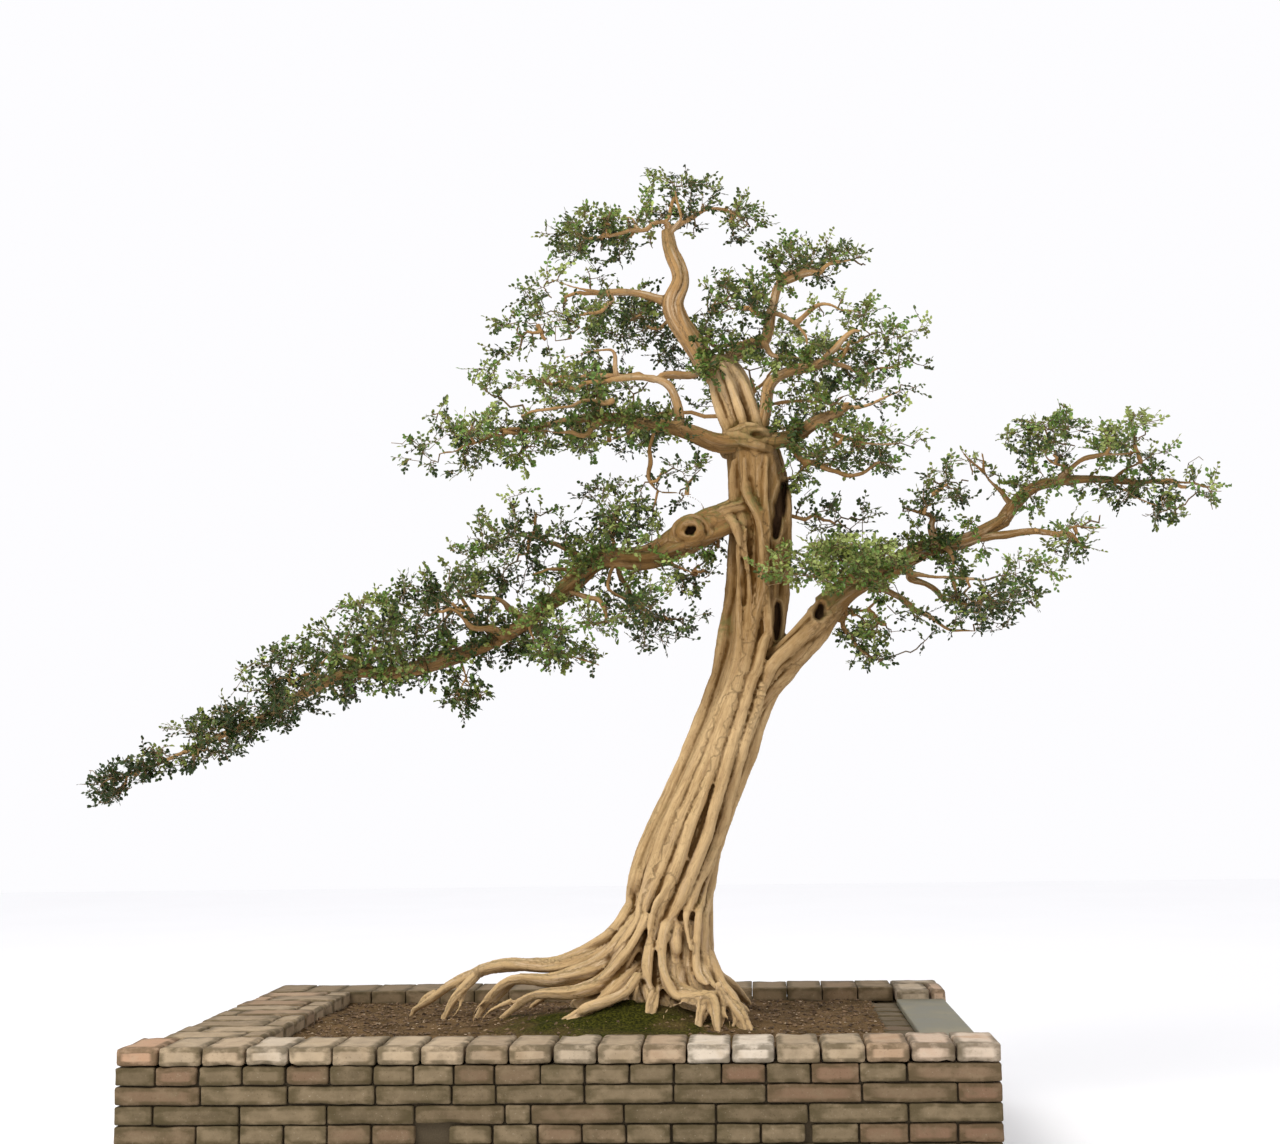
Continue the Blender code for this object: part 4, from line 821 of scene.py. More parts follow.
# Fine roots that fork off and grip the earth, from the strand to the tip.
TOES = [
    [(0.440, -0.26, 0.520, 0.015), (0.458, -0.29, 0.454, 0.012), (0.442, -0.32, 0.385, 0.009)],
    [(0.426, -0.27, 0.495, 0.013), (0.385, -0.30, 0.435, 0.010), (0.382, -0.32, 0.385, 0.007)],
    [(0.433, -0.28, 0.481, 0.010), (0.392, -0.31, 0.413, 0.007), (0.385, -0.33, 0.382, 0.005)],
    [(0.462, -0.27, 0.492, 0.009), (0.519, -0.29, 0.443, 0.006), (0.540, -0.30, 0.385, 0.005)],
    [(0.468, -0.28, 0.484, 0.010), (0.515, -0.31, 0.420, 0.007), (0.522, -0.32, 0.385, 0.006)],
    [(0.456, -0.30, 0.454, 0.006), (0.474, -0.32, 0.424, 0.005), (0.485, -0.33, 0.385, 0.004)],
    [(0.451, -0.27, 0.503, 0.011), (0.492, -0.29, 0.440, 0.008), (0.485, -0.30, 0.385, 0.006)],
    [(0.244, -0.23, 0.496, 0.011), (0.225, -0.27, 0.452, 0.006), (0.230, -0.28, 0.385, 0.004)],
    [(0.357, -0.27, 0.475, 0.006), (0.288, -0.30, 0.449, 0.004), (0.266, -0.32, 0.385, 0.003)],
    [(-0.379, 0.12, 0.508, 0.014), (-0.409, 0.07, 0.431, 0.008), (-0.438, 0.04, 0.385, 0.006)],
    [(-0.365, 0.11, 0.499, 0.010), (-0.391, 0.03, 0.420, 0.006), (-0.419, 0.00, 0.385, 0.005)],
    [(-0.249, -0.03, 0.484, 0.012), (-0.320, -0.04, 0.428, 0.007), (-0.334, -0.06, 0.385, 0.005)],
    [(-0.488, 0.18, 0.461, 0.011), (-0.530, 0.20, 0.437, 0.009), (-0.565, 0.21, 0.385, 0.006)],
    [(-0.199, -0.13, 0.464, 0.010), (-0.269, -0.16, 0.434, 0.006), (-0.298, -0.18, 0.385, 0.004)],
    [
        (0.203, -0.20, 0.543, 0.020), (0.168, -0.23, 0.496, 0.022), (0.114, -0.25, 0.472, 0.024),
        (0.061, -0.27, 0.459, 0.023), (0.026, -0.28, 0.446, 0.019),
    ],
]

# Smaller limbs that show between the leaves: foot, elbow, tip, and radius at the foot.
SMALL_LIMBS = [
    # right bough
    ((1.15, 0.00, 1.92), (1.14, 0.00, 1.97), (1.06, -0.02, 1.99), 0.014),
    ((1.12, 0.00, 1.98), (1.14, 0.01, 2.01), (1.16, 0.02, 2.04), 0.006),
    ((1.40, 0.01, 2.00), (1.32, -0.04, 2.08), (1.31, -0.05, 2.16), 0.009),
    ((1.32, -0.04, 2.09), (1.28, -0.08, 2.12), (1.24, -0.10, 2.16), 0.006),
    ((1.56, 0.02, 2.07), (1.62, -0.03, 2.13), (1.81, -0.05, 2.15), 0.015),
    ((1.57, 0.00, 2.12), (1.53, 0.04, 2.15), (1.52, 0.08, 2.25), 0.010),
    ((1.73, 0.03, 2.08), (1.85, 0.09, 2.15), (1.90, 0.10, 2.17), 0.008),
    ((1.73, 0.03, 2.08), (1.78, 0.00, 2.02), (1.91, -0.06, 1.96), 0.007),
    ((1.87, 0.04, 2.07), (2.00, 0.04, 2.06), (2.06, 0.05, 2.05), 0.008),
    ((1.28, 0.00, 1.89), (1.55, -0.06, 1.90), (1.63, -0.09, 1.84), 0.016),
    ((1.55, -0.06, 1.90), (1.63, -0.04, 1.92), (1.70, -0.03, 1.91), 0.006),
    ((1.08, -0.02, 1.79), (1.12, -0.06, 1.77), (1.29, -0.14, 1.74), 0.014),
    ((1.18, -0.03, 1.87), (1.21, -0.07, 1.83), (1.20, -0.09, 1.76), 0.011),
    ((1.08, 0.00, 1.77), (1.19, 0.05, 1.69), (1.31, 0.10, 1.69), 0.013),
    ((0.96, 0.00, 1.74), (1.16, -0.06, 1.61), (1.27, -0.04, 1.59), 0.013),
    ((0.84, 0.02, 1.69), (0.91, 0.08, 1.56), (0.97, 0.04, 1.51), 0.010),
    ((0.84, 0.03, 1.65), (0.97, 0.11, 1.70), (1.01, 0.12, 1.69), 0.008),
    ((0.96, -0.05, 1.75), (0.89, -0.13, 1.76), (0.71, -0.22, 1.76), 0.012),
    ((0.88, -0.13, 1.76), (0.84, -0.16, 1.82), (0.85, -0.15, 1.87), 0.008),
    # left bough
    ((0.03, -0.05, 1.86), (-0.12, 0.00, 1.94), (-0.13, 0.01, 2.01), 0.014),
    ((-0.12, 0.00, 1.94), (-0.17, -0.07, 1.93), (-0.20, -0.10, 1.91), 0.008),
    ((0.03, -0.06, 1.79), (-0.05, -0.14, 1.80), (-0.12, -0.20, 1.78), 0.011),
    ((-0.03, -0.05, 1.74), (0.10, -0.15, 1.69), (0.11, -0.16, 1.63), 0.012),
    ((0.13, -0.07, 1.84), (0.10, -0.13, 1.74), (0.18, -0.10, 1.70), 0.011),
    ((0.27, -0.08, 1.85), (0.34, -0.12, 1.80), (0.42, -0.10, 1.77), 0.009),
    ((0.14, -0.05, 1.84), (0.19, 0.03, 1.68), (0.33, 0.03, 1.65), 0.012),
    ((-0.19, -0.06, 1.68), (-0.22, -0.13, 1.71), (-0.31, -0.19, 1.72), 0.015),
    ((-0.22, -0.08, 1.60), (-0.32, -0.16, 1.63), (-0.38, -0.18, 1.68), 0.017),
    ((-0.25, -0.07, 1.57), (-0.35, 0.05, 1.69), (-0.41, 0.08, 1.79), 0.012),
    ((-0.15, -0.06, 1.64), (-0.11, -0.08, 1.58), (0.08, -0.08, 1.50), 0.009),
    ((-0.37, -0.09, 1.53), (-0.32, -0.12, 1.43), (-0.29, -0.12, 1.40), 0.006),
    ((-0.34, -0.11, 1.47), (-0.36, -0.13, 1.42), (-0.36, -0.14, 1.38), 0.005),
    ((0.46, 0.06, 1.89), (0.44, 0.08, 1.91), (0.40, 0.07, 1.88), 0.008),
    ((0.42, -0.04, 1.98), (0.40, -0.01, 2.03), (0.34, 0.02, 2.06), 0.005),
    ((0.25, -0.07, 2.13), (0.27, -0.05, 2.07), (0.38, -0.02, 2.05), 0.009),
    ((-0.60, -0.09, 1.49), (-0.73, -0.16, 1.54), (-0.80, -0.17, 1.51), 0.009),
    ((-0.75, -0.09, 1.46), (-0.91, -0.14, 1.48), (-0.97, -0.14, 1.45), 0.008),
    # left of the crown, and its top
    ((0.26, 0.00, 2.70), (0.23, 0.03, 2.67), (0.19, 0.05, 2.65), 0.009),
    ((0.12, -0.02, 2.70), (0.05, -0.11, 2.64), (-0.10, -0.14, 2.59), 0.010),
    ((0.09, -0.03, 2.73), (0.04, -0.06, 2.73), (-0.06, -0.07, 2.76), 0.009),
    ((0.36, 0.00, 2.45), (0.22, -0.09, 2.44), (-0.02, -0.15, 2.42), 0.017),
    ((0.16, -0.11, 2.44), (0.13, -0.12, 2.52), (-0.02, -0.15, 2.48), 0.010),
    ((0.09, -0.11, 2.35), (0.08, -0.08, 2.40), (0.05, -0.06, 2.45), 0.011),
    ((0.13, -0.13, 2.34), (-0.02, -0.16, 2.33), (-0.15, -0.18, 2.29), 0.012),
    ((0.15, -0.09, 2.29), (0.02, -0.18, 2.23), (-0.09, -0.23, 2.23), 0.013),
    ((-0.10, -0.11, 2.27), (-0.12, -0.15, 2.21), (-0.16, -0.17, 2.17), 0.008),
    ((-0.22, -0.12, 2.26), (-0.34, -0.08, 2.24), (-0.44, -0.05, 2.33), 0.008),
    ((-0.22, -0.12, 2.26), (-0.34, -0.20, 2.18), (-0.41, -0.20, 2.17), 0.008),
    ((0.21, -0.08, 2.28), (0.17, -0.03, 2.24), (0.05, 0.03, 2.23), 0.009),
    ((0.33, 0.00, 2.90), (0.29, -0.01, 2.94), (0.06, -0.08, 2.89), 0.015),
    ((0.23, -0.04, 2.91), (0.19, 0.01, 2.98), (0.14, 0.04, 3.00), 0.008),
    ((0.32, 0.00, 2.91), (0.35, -0.02, 2.97), (0.34, -0.05, 3.08), 0.013),
    ((0.32, 0.00, 2.92), (0.43, 0.02, 3.00), (0.57, 0.04, 2.98), 0.013),
    # right of the crown
    ((0.68, 0.08, 2.77), (0.85, -0.02, 2.79), (0.92, -0.03, 2.81), 0.014),
    ((0.62, 0.07, 2.65), (0.74, 0.01, 2.61), (0.77, -0.02, 2.50), 0.012),
    ((0.74, 0.01, 2.61), (0.82, -0.06, 2.65), (0.93, -0.09, 2.62), 0.011),
    ((0.62, 0.06, 2.57), (0.66, 0.03, 2.51), (0.77, -0.03, 2.48), 0.014),
    ((0.79, -0.05, 2.46), (0.89, -0.11, 2.54), (0.93, -0.12, 2.55), 0.014),
    ((0.84, -0.04, 2.46), (0.95, 0.00, 2.44), (1.10, 0.02, 2.48), 0.011),
    ((0.89, -0.07, 2.31), (0.94, -0.10, 2.31), (1.05, -0.13, 2.35), 0.011),
    ((0.79, -0.06, 2.28), (0.90, -0.16, 2.19), (1.03, -0.19, 2.17), 0.011),
    ((0.66, -0.03, 2.21), (0.84, -0.10, 2.10), (0.98, -0.15, 2.12), 0.014),
    ((0.76, -0.08, 2.14), (0.73, -0.03, 2.11), (0.69, 0.00, 2.10), 0.008),
    ((0.75, 0.20, 2.39), (0.85, 0.28, 2.45), (0.91, 0.30, 2.46), 0.008),
    ((0.61, 0.06, 2.57), (0.47, -0.02, 2.54), (0.44, -0.03, 2.57), 0.012),
]

# Old wounds and swellings.
HOLLOWS = [                             # from, to (x, z), half width and depth of each old wound
    ((0.682, 2.080), (0.646, 1.905), 0.021, 0.040), ((0.652, 1.690), (0.644, 1.580), 0.015, 0.030),
    ((0.786, 1.672), (0.776, 1.642), 0.022, 0.035), ((0.386, 1.926), (0.368, 1.916), 0.016, 0.028),
]
CALLUS = (0.377, -0.108, 1.921)         # middle of the wood rolled round the elbow's wound
CALLUS_ROLLS = ((0.028, 0.012, 1.0), (0.046, 0.010, 0.8))       # how far out, how thick, and its turns
FLARES = [                              # the swollen foot of the trunk, behind the strands
    [(0.270, -0.05, 0.68, 0.088), (0.252, -0.10, 0.53, 0.085), (0.240, -0.15, 0.40, 0.070)],
    [(0.320, -0.05, 0.68, 0.080), (0.352, -0.10, 0.53, 0.078), (0.395, -0.16, 0.40, 0.062)],
    [(0.215, -0.04, 0.68, 0.070), (0.120, -0.08, 0.53, 0.058), (0.010, -0.12, 0.42, 0.045)],
    [(0.285, 0.06, 0.66, 0.085), (0.285, 0.12, 0.50, 0.085), (0.285, 0.17, 0.38, 0.070)],
]
KNUCKLE = [                             # in the crotch of the fork
    (0.665, -0.05, 1.490, 0.026), (0.706, -0.05, 1.532, 0.046), (0.745, -0.05, 1.585, 0.030),
]
TRUNK_VOXEL, BOUGH_VOXEL, SIDE_VOXEL = 0.0058, 0.0045, 0.0042
ROOT_CUT = 0.80                         # height at which the trunk's wood is parted in two pieces
WOOD_FOOT = 0.362                       # wood goes no lower than this into the earth
BACK_TURNS = (-72, -54, -38, -20, -3, 14, 30, 47, 63, 78)      # degrees from straight back
wood_chance = random.Random(SEED)


def smooth_line(points, per_span=6):
    """Places and radii along a smooth curve through the control points."""
    knots = np.array(points, float)
    knots = np.vstack([2 * knots[0] - knots[1], knots, 2 * knots[-1] - knots[-2]])
    t = (np.arange(per_span) / per_span)[:, None]
    rows = []
    for a, b, c, d in zip(knots, knots[1:], knots[2:], knots[3:]):
        rows.append(0.5 * (2 * b + (c - a) * t + (2 * a - 5 * b + 4 * c - d) * t ** 2
                           + (3 * b - a - 3 * c + d) * t ** 3))
    rows.append(knots[-2][None])
    return np.vstack(rows)


def run_along(line):
    """How far along the line each of its places lies."""
    return np.concatenate([[0.0], np.cumsum(np.linalg.norm(np.diff(line[:, :3], axis=0), axis=1))])


def square_axes(line):
    """The direction of the line, and two square to it that turn as little as they can along it."""
    along = unit(np.gradient(line[:, :3], axis=0))
    first = np.zeros_like(along)
    guess = np.cross(along[0], (0.0, 1.0, 0.0))
    if np.linalg.norm(guess) < 0.1:
        guess = np.cross(along[0], (1.0, 0.0, 0.0))
    for step, way in enumerate(along):
        guess = guess - guess.dot(way) * way
        guess = guess / np.linalg.norm(guess)
        first[step] = guess
    return along, first, np.cross(along, first)


def rings(first, second, sides):
    """Round rings with radius one, each spanned by its two square directions."""
    turn = 2 * math.pi * np.arange(sides) / sides
    return np.cos(turn)[None, :, None] * first[:, None] + np.sin(turn)[None, :, None] * second[:, None]


def tube_arrays(line, sides=8):
    """Points and triangles of a round limb along the line, with blunt ends."""
    along, first, second = square_axes(line)
    points = (line[:, None, :3] + line[:, None, 3:4] * rings(first, second, sides)).reshape(-1, 3)
    ends = np.stack([line[0, :3] - along[0] * line[0, 3] * 0.5, line[-1, :3] + along[-1] * line[-1, 3] * 0.5])
    around, next_one = np.arange(sides), (np.arange(sides) + 1) % sides
    feet = (np.arange(len(line) - 1) * sides)[:, None]
    rows, after = feet + around, feet + next_one
    quads = np.stack([rows, after, after + sides, rows + sides], axis=2).reshape(-1, 4)
    faces = [quads[:, [0, 1, 2]], quads[:, [0, 2, 3]]]
    last = (len(line) - 1) * sides
    faces.append(np.stack([next_one, around, np.full(sides, len(points))], axis=1))
    faces.append(np.stack([last + around, last + next_one, np.full(sides, len(points) + 1)], axis=1))
    return np.vstack([points, ends]), np.vstack(faces)


def strands_on(line, turns, out, thick, wander, twist):
    """Strands that run along a limb's skin from the given turns, swaying so that some cross or part."""
    _, first, second = square_axes(line)
    run = run_along(line)
    made = []
    for turn in turns:
        phase, other, pace = (wood_chance.uniform(0, 2 * math.pi) for _ in range(3))
        pace = 2.0 + 0.5 * pace
        angle = turn + twist * run + wander * np.sin(pace * run / 0.9 + phase)
        size = line[:, 3] * thick * wood_chance.uniform(0.8, 1.25) * (1 + 0.20 * np.sin(5.0 * run + other))
        away = line[:, 3] * out - size * 0.75
        way = np.cos(angle)[:, None] * first + np.sin(angle)[:, None] * second
        made.append(np.hstack([line[:, :3] + away[:, None] * way, size[:, None]]))
    return made


def round_about(count):
    """Turns spaced evenly round a limb."""
    return [2 * math.pi * number / count for number in range(count)]


def swaying(line, scale, seeds):
    """Smooth chance shifts along X, Y and Z for each place on the line."""
    return np.stack([noise_at(line[:, :3], scale, seed) for seed in seeds], axis=1)


def winding(foot, elbow, tip, thick, bearers):
    """A small limb out of the nearest larger one: it wanders on its way over its elbow and gets thin."""
    start = bearers[np.argmin(np.linalg.norm(bearers[:, :3] - foot, axis=1)), :3]
    rows = [(*elbow, 0.62 * thick), (*tip, max(0.0032, 0.34 * thick))]
    if np.linalg.norm(start - foot) > 0.02:
        rows.insert(0, (*foot, 0.95 * thick))
    line = smooth_line([(*start, thick), *rows], 8)
    sway = swaying(line, 17.0, (21, 22, 23))
    ease = np.sin(np.linspace(0.0, math.pi, len(line)))[:, None]
    line[:, :3] += 0.075 * run_along(line)[-1] * ease * sway
    return line


def knobbly(line, amount=0.10, sway=0.0):
    """The same limb, swelling and shrinking along it as at old pruning scars, and swaying a little."""
    bumps = noise_at(line[:, :3], 11.0, 2) + 0.6 * noise_at(line[:, :3], 27.0, 5)
    made = line.copy()
    made[:, 3] *= 1 + amount * bumps
    made[:, :3] += sway * swaying(line, 13.0, (31, 32, 33))
    return made


def slender(line):
    """The same root or strand, thinner the farther it runs from the foot of the trunk."""
    made = line.copy()
    reach = np.hypot(line[:, 0] - TRUNK_SPINE[0][0], line[:, 1] - TRUNK_SPINE[0][1])
    made[:, 3] *= np.where(line[:, 2] < 0.75, np.interp(reach, (0.13, 0.50), (0.90, 0.58)), 1.0)
    return made


def run_out(line, ends):
    """The same line, thin where it starts and, for two ends, where it stops too."""
    share = np.linspace(0.0, 1.0, len(line))
    made = line.copy()
    made[:, 3] *= np.interp(share, (0.0, 0.16), (0.40, 1.0))
    if ends == 2:
        made[:, 3] *= np.interp(share, (0.88, 1.0), (1.0, 0.5))
    return made


def with_tail(line):
    """The same root, running on until its thin end is under the earth."""
    way = unit(line[-1, :3] - line[-3, :3]) * (1, 1, 0)
    size = line[-1, 3]
    ends = [(*(line[-1, :3] + way * far), size * thin) for far, thin in ((0.012, 0.8), (0.025, 0.5))]
    ends = np.array(ends)
    ends[:, 2] = (line[-1, 2] - 0.020, 0.345)
    return np.vstack([line, ends])


def rising(foot):
    """The strand that carries a root on up the trunk's skin and thins out there."""
    start = Vector(foot[:3])
    middle = Vector([np.interp(start.z, spine[:, 2], spine[:, axis]) for axis in range(3)])
    angle = math.atan2(start.y - middle.y, start.x - middle.x)
    top = start.z + wood_chance.uniform(0.35, 0.95)
    height = np.linspace(start.z - 0.10, top, 16)
    grown = np.stack([np.interp(height, spine[:, 2], spine[:, axis]) for axis in range(4)], axis=1)
    share = (height - height[0]) / (top - height[0])
    sway = angle + 0.25 * share * wood_chance.uniform(-1, 1) + 0.12 * np.sin(6 * share + angle)
    size = 0.036 * (1 - share) ** 0.7 + 0.009
    out = grown[:, 3] - 0.75 * size + 0.010 * (1 - share)
    centre = grown[:, :3] + out[:, None] * np.stack([np.cos(sway), np.sin(sway), 0 * sway], axis=1)
    return np.hstack([centre, size[:, None]])


def whorl_ring(number):
    """A wisp of old root or scar wound round the top of the trunk."""
    turn = np.linspace(0, 2 * math.pi, 25)
    flat = np.stack([np.cos(turn), np.sin(turn), 0 * turn], axis=1)
    out = 0.078 + 0.020 * noise_at(flat, 1.7, number)
    rise = 0.016 * (number - 1.5) + 0.014 * np.sin(turn * (2 + number % 2) + 2.1 * number)
    size = 0.013 + 0.005 * np.sin(turn * 3 + number)
    place = WHORL[:3] + out[:, None] * flat
    return np.column_stack([place[:, :2], WHORL[2] + rise, size])


def callus_roll(out, size, turns):
    """A roll of new wood round the wound in the elbow."""
    turn = np.linspace(0.0, 2 * math.pi * turns, 20)
    return np.column_stack([
        CALLUS[0] + 1.2 * out * np.cos(turn), CALLUS[1] + 0.5 * (out - 0.03) + 0 * turn,
        CALLUS[2] + out * np.sin(turn), size * (1 + 0.2 * np.sin(3 * turn + out * 90)),
    ])


# What the trunk is fused from: its core, strands, roots and the trunk's side of both forks.
spine = smooth_line(TRUNK_SPINE, 10)
core = spine.copy()
core[:, 3] -= np.interp(core[:, 2], (0.65, 1.0, 1.2, 1.8), (0.012, 0.023, 0.026, 0.016))
_, spine_first, spine_second = square_axes(spine)
to_back = math.atan2(spine_second[5] @ (0, 1, 0), spine_first[5] @ (0, 1, 0))
back_turns = [to_back + math.radians(turn) for turn in BACK_TURNS]
lines = [core, *strands_on(spine, back_turns, 0.99, 0.17, 0.14, 0.0)]
for points in STRANDS.values():
    lines.append(run_out(slender(knobbly(smooth_line(points, 8), 0.16, 0.005)), 2))
for points in TOES:
    toe = smooth_line(points, 6)
    toe[:, 3] *= 0.85
    lines.append(knobbly(toe, 0.20, 0.004))
for points in ROOTS.values():
    root = run_out(slender(with_tail(smooth_line(points, 8))), 1)
    lines.append(knobbly(root, 0.18, 0.006))
    lines += strands_on(root, round_about(3), 1.15, 0.46, 0.7, 3.0)
    if points[0][2] >= 0.6 and points[0][1] >= 0.05:        # the front has strands of its own
        lines.append(rising(points[0]))
lines.append(smooth_line(KNUCKLE, 8))
lines += [knobbly(smooth_line(points, 8), 0.10, 0.006) for points in FLARES]
for points in (FORK, ELBOW):
    line = smooth_line(points, 8)
    line[:, 3] -= 0.010
    lines.append(line)
    lines += strands_on(line, round_about(7), 1.10, 0.36, 0.5, 1.4)
lines += [whorl_ring(number) for number in range(4)]

# What the boughs are fused from, and then the smaller limbs.
thin_lines = [callus_roll(*roll) for roll in CALLUS_ROLLS]
limb_lines = {name: smooth_line(points, 8) for name, (_, points) in LIMBS.items()}
for limb in limb_lines.values():
    line = limb.copy()
    thick = line[:, 3].max() > 0.022
    if thick:
        line[:, 3] *= 0.88
    thin_lines.append(knobbly(line, 0.16))
    if thick:
        thin_lines += strands_on(line, round_about(5), 1.10, 0.42, 0.8, 2.6)
side_lines = []
for foot, elbow, tip, thick in SMALL_LIMBS:
    bearers = np.vstack([spine, *limb_lines.values(), *side_lines])
    side_lines.append(winding(foot, elbow, tip, thick, bearers))


def joined_tubes(tubes):
    """Points and triangles of all the tubes together, not yet fused."""
    points, faces, count = [], [], 0
    for line in tubes:
        tube_points, tube_faces = tube_arrays(line)
        points.append(tube_points)
        faces.append(tube_faces + count)
        count += len(tube_points)
    return np.vstack(points), np.vstack(faces)


class Wood:
    """Fused wood as arrays: its points, faces and normals, and which limb runs under each point."""

    def __init__(self, tubes, voxel):
        points, faces = joined_tubes(tubes)
        mesh = bpy.data.meshes.new("wood")
        mesh.from_pydata(points.tolist(), [], faces.tolist())
        made = bpy.data.objects.new("wood", mesh)
        bpy.context.scene.collection.objects.link(made)
        bpy.context.view_layer.objects.active = made
        made.select_set(True)
        skin = made.modifiers.new("skin", "REMESH")
        skin.mode, skin.voxel_size = "VOXEL", voxel
        bpy.ops.object.modifier_apply(modifier="skin")
        self.points = self.read(made.data.vertices, "co", 3)
        self.faces = self.read(made.data.polygons, "vertices", 4, np.int32)
        edges = np.concatenate([self.faces[:, [i, (i + 1) % 4]] for i in range(4)])
        self.edges = np.unique(np.sort(edges, axis=1), axis=0)
        bpy.data.objects.remove(made, do_unlink=True)
        self.tubes = tubes

    @staticmethod
    def read(rows, field, width, kind=np.float32):
        """One field of all the mesh's points or faces, as an array."""
        values = np.empty(len(rows) * width, kind)
        rows.foreach_get(field, values)
        return values.reshape(-1, width).astype(float if kind == np.float32 else np.int64)

    def spread(self, values):
        """Each point's value averaged with its neighbours'."""
        total = np.array(values, float)
        count = np.ones(len(total))
        for a, b in ((0, 1), (1, 0)):
            np.add.at(total, self.edges[:, a], values[self.edges[:, b]])
            np.add.at(count, self.edges[:, a], 1)
        return total / (count[:, None] if total.ndim == 2 else count)

    def normals(self):
        """The way out of the skin at each point."""
        corners = self.points[self.faces]
        flat = np.cross(corners[:, 2] - corners[:, 0], corners[:, 3] - corners[:, 1])
        total = np.zeros_like(self.points)
        for side in range(4):
            np.add.at(total, self.faces[:, side], flat)
        return unit(total)

    def grain(self):
        """Where each point lies in its strand: two measures across it and one along, and the strand."""
        samples, axes, runs, owners = [], [], [], []
        for owner, line in enumerate(self.tubes):
            along, first, second = square_axes(line)
            samples.append(line[:, :3])
            axes.append(np.stack([first, second, along], axis=1))
            runs.append(run_along(line))
            owners.append(np.full(len(line), owner))
        samples, axes = np.vstack(samples), np.vstack(axes)
        runs, owners = np.concatenate(runs), np.concatenate(owners)
        tree = kdtree.KDTree(len(samples))
        for number, place in enumerate(samples):
            tree.insert(place, number)
        tree.balance()
        near = np.array([tree.find(place)[1] for place in self.points])
        local = np.einsum("nij,nj->ni", axes[near], self.points - samples[near])
        local[:, 2] += runs[near]
        return local, owners[near]


def carve(points, normals):
    """Sinks old wounds into the side that faces the front, each with a swollen lip round it."""
    hollow = np.zeros(len(points))
    for start, end, half, depth in HOLLOWS:
        start, end = np.array(start), np.array(end)
        flat = points[:, [0, 2]] - start
        way = end - start
        share = np.clip(flat @ way / (way @ way), 0, 1)
        width = half * (0.45 + 0.55 * np.sin(math.pi * np.clip(0.12 + 0.80 * share, 0, 1)))
        away = np.linalg.norm(flat - share[:, None] * way, axis=1) / width
        away += 0.22 * noise_at(points, 38.0, 9)
        facing = (normals[:, 1] < -0.1) * (points[:, 1] > -0.20)
        inside = np.clip((1.15 - away) / 0.75, 0, 1) * facing
        inside = inside * inside * (3 - 2 * inside)
        lip = np.exp(-((away - 1.45) / 0.32) ** 2) * facing
        points += normals * (lip * half * 0.22)[:, None]
        points[:, 1] += depth * inside
        hollow = np.maximum(hollow, inside)
    return hollow


def dress_wood(tubes, voxel, depth, names, material, slot, cut=math.inf, mossy=0.0):
    """Fuses the tubes, smooths the steps away, cuts in the fine grain and marks grooves and moss, and the
    band under the crown: the grooves and that band take painted shade, the ridges painted light.

    A large piece of wood becomes two objects that share their skin at the height of the cut.
    """
    wood = Wood(tubes, voxel)
    wood.points = wood.spread(wood.points)
    normals = wood.normals()
    hollow = carve(wood.points, normals)
    place, owner = wood.grain()
    stretched = place * (1.0, 1.0, 0.10) + owner[:, None] * (0.37, 0.11, 0.53)
    relief = noise_at(stretched, 60.0, 1) * 0.8 + noise_at(stretched, 130.0, 2) * 0.6
    relief += 1.1 * noise_at(wood.points, 14.0, 3) + 0.7 * noise_at(wood.points, 45.0, 4)
    for scale, sunk in ((26.0, 2.4), (52.0, 1.4)):              # furrows, sharp at the bottom
        furrow = 1 - np.clip(np.abs(noise_at(stretched * (1, 1, 1.4), scale, 15)) / 0.28, 0, 1)
        relief -= sunk * furrow * np.clip(0.55 + noise_at(wood.points, 5.0, 16), 0, 1)
    wood.points += normals * (relief * depth)[:, None]
    normals = wood.normals()
    smooth = wood.points
    for _ in range(10):
        smooth = wood.spread(smooth)
    # The groove mark: how far each point lies below its smoothed neighbours; the bark finish paints grooves
    # darker, painted shade on top of the bark's browner colour there, and ridges paler, painted light.
    groove_shading = np.einsum("ij,ij->i", smooth - wood.points, normals)
    groove_shading = np.clip(groove_shading / 0.0045, -1, 1)
    cloud = noise_at(wood.points, 7.0, 6) + 0.6 * noise_at(wood.points, 24.0, 7)
    moss = np.clip((normals[:, 2] - 0.15) * 1.5 + 0.8 * cloud - 0.20
                   + mossy * np.interp(wood.points[:, 0], (0.2, 0.9), (1.0, 0.3)), 0, 1)
    round_whorl = np.linalg.norm((wood.points - WHORL[:3]) / (0.13, 0.13, 0.045), axis=1)
    moss = np.maximum(moss, np.clip(1.5 - round_whorl + 0.6 * cloud, 0, 1))
    # The high mark: the band from 1.3 m up past the whorl that lies under the crown, which the bark finish
    # paints darker as painted shade; it fades out on the stub.
    high = np.interp(wood.points[:, 2], (1.30, 1.75, 2.20, 2.32), (0.0, 1.0, 1.0, 0.10))
    points = inside_box(wood.points)
    points[:, 2] = np.maximum(points[:, 2], WOOD_FOOT)
    bleach = np.interp(wood.points[:, 2], (0.50, 1.00), (1.0, 0.25))
    bleach += np.interp(wood.points[:, 0], (0.85, 1.10), (0.0, 0.35))
    bleach += np.interp(wood.points[:, 2], (2.26, 2.34), (0.0, 0.50))
    marks = {
        "bleach": bleach, "groove_shading": groove_shading, "moss": moss, "hollow": hollow, "grain": stretched, "high": high,
    }
    above = points[wood.faces][:, :, 2].mean(axis=1) > cut
    made = []
    for name, chosen in zip(names, (~above, above)):
        used, corners = np.unique(wood.faces[chosen], return_inverse=True)
        own = {mark: values[used] for mark, values in marks.items()}
        made.append(array_object(name, points[used], corners.reshape(-1, 4), material, slot, **own))
        made[-1].data.normals_split_custom_set_from_vertices(normals[used])
    return made


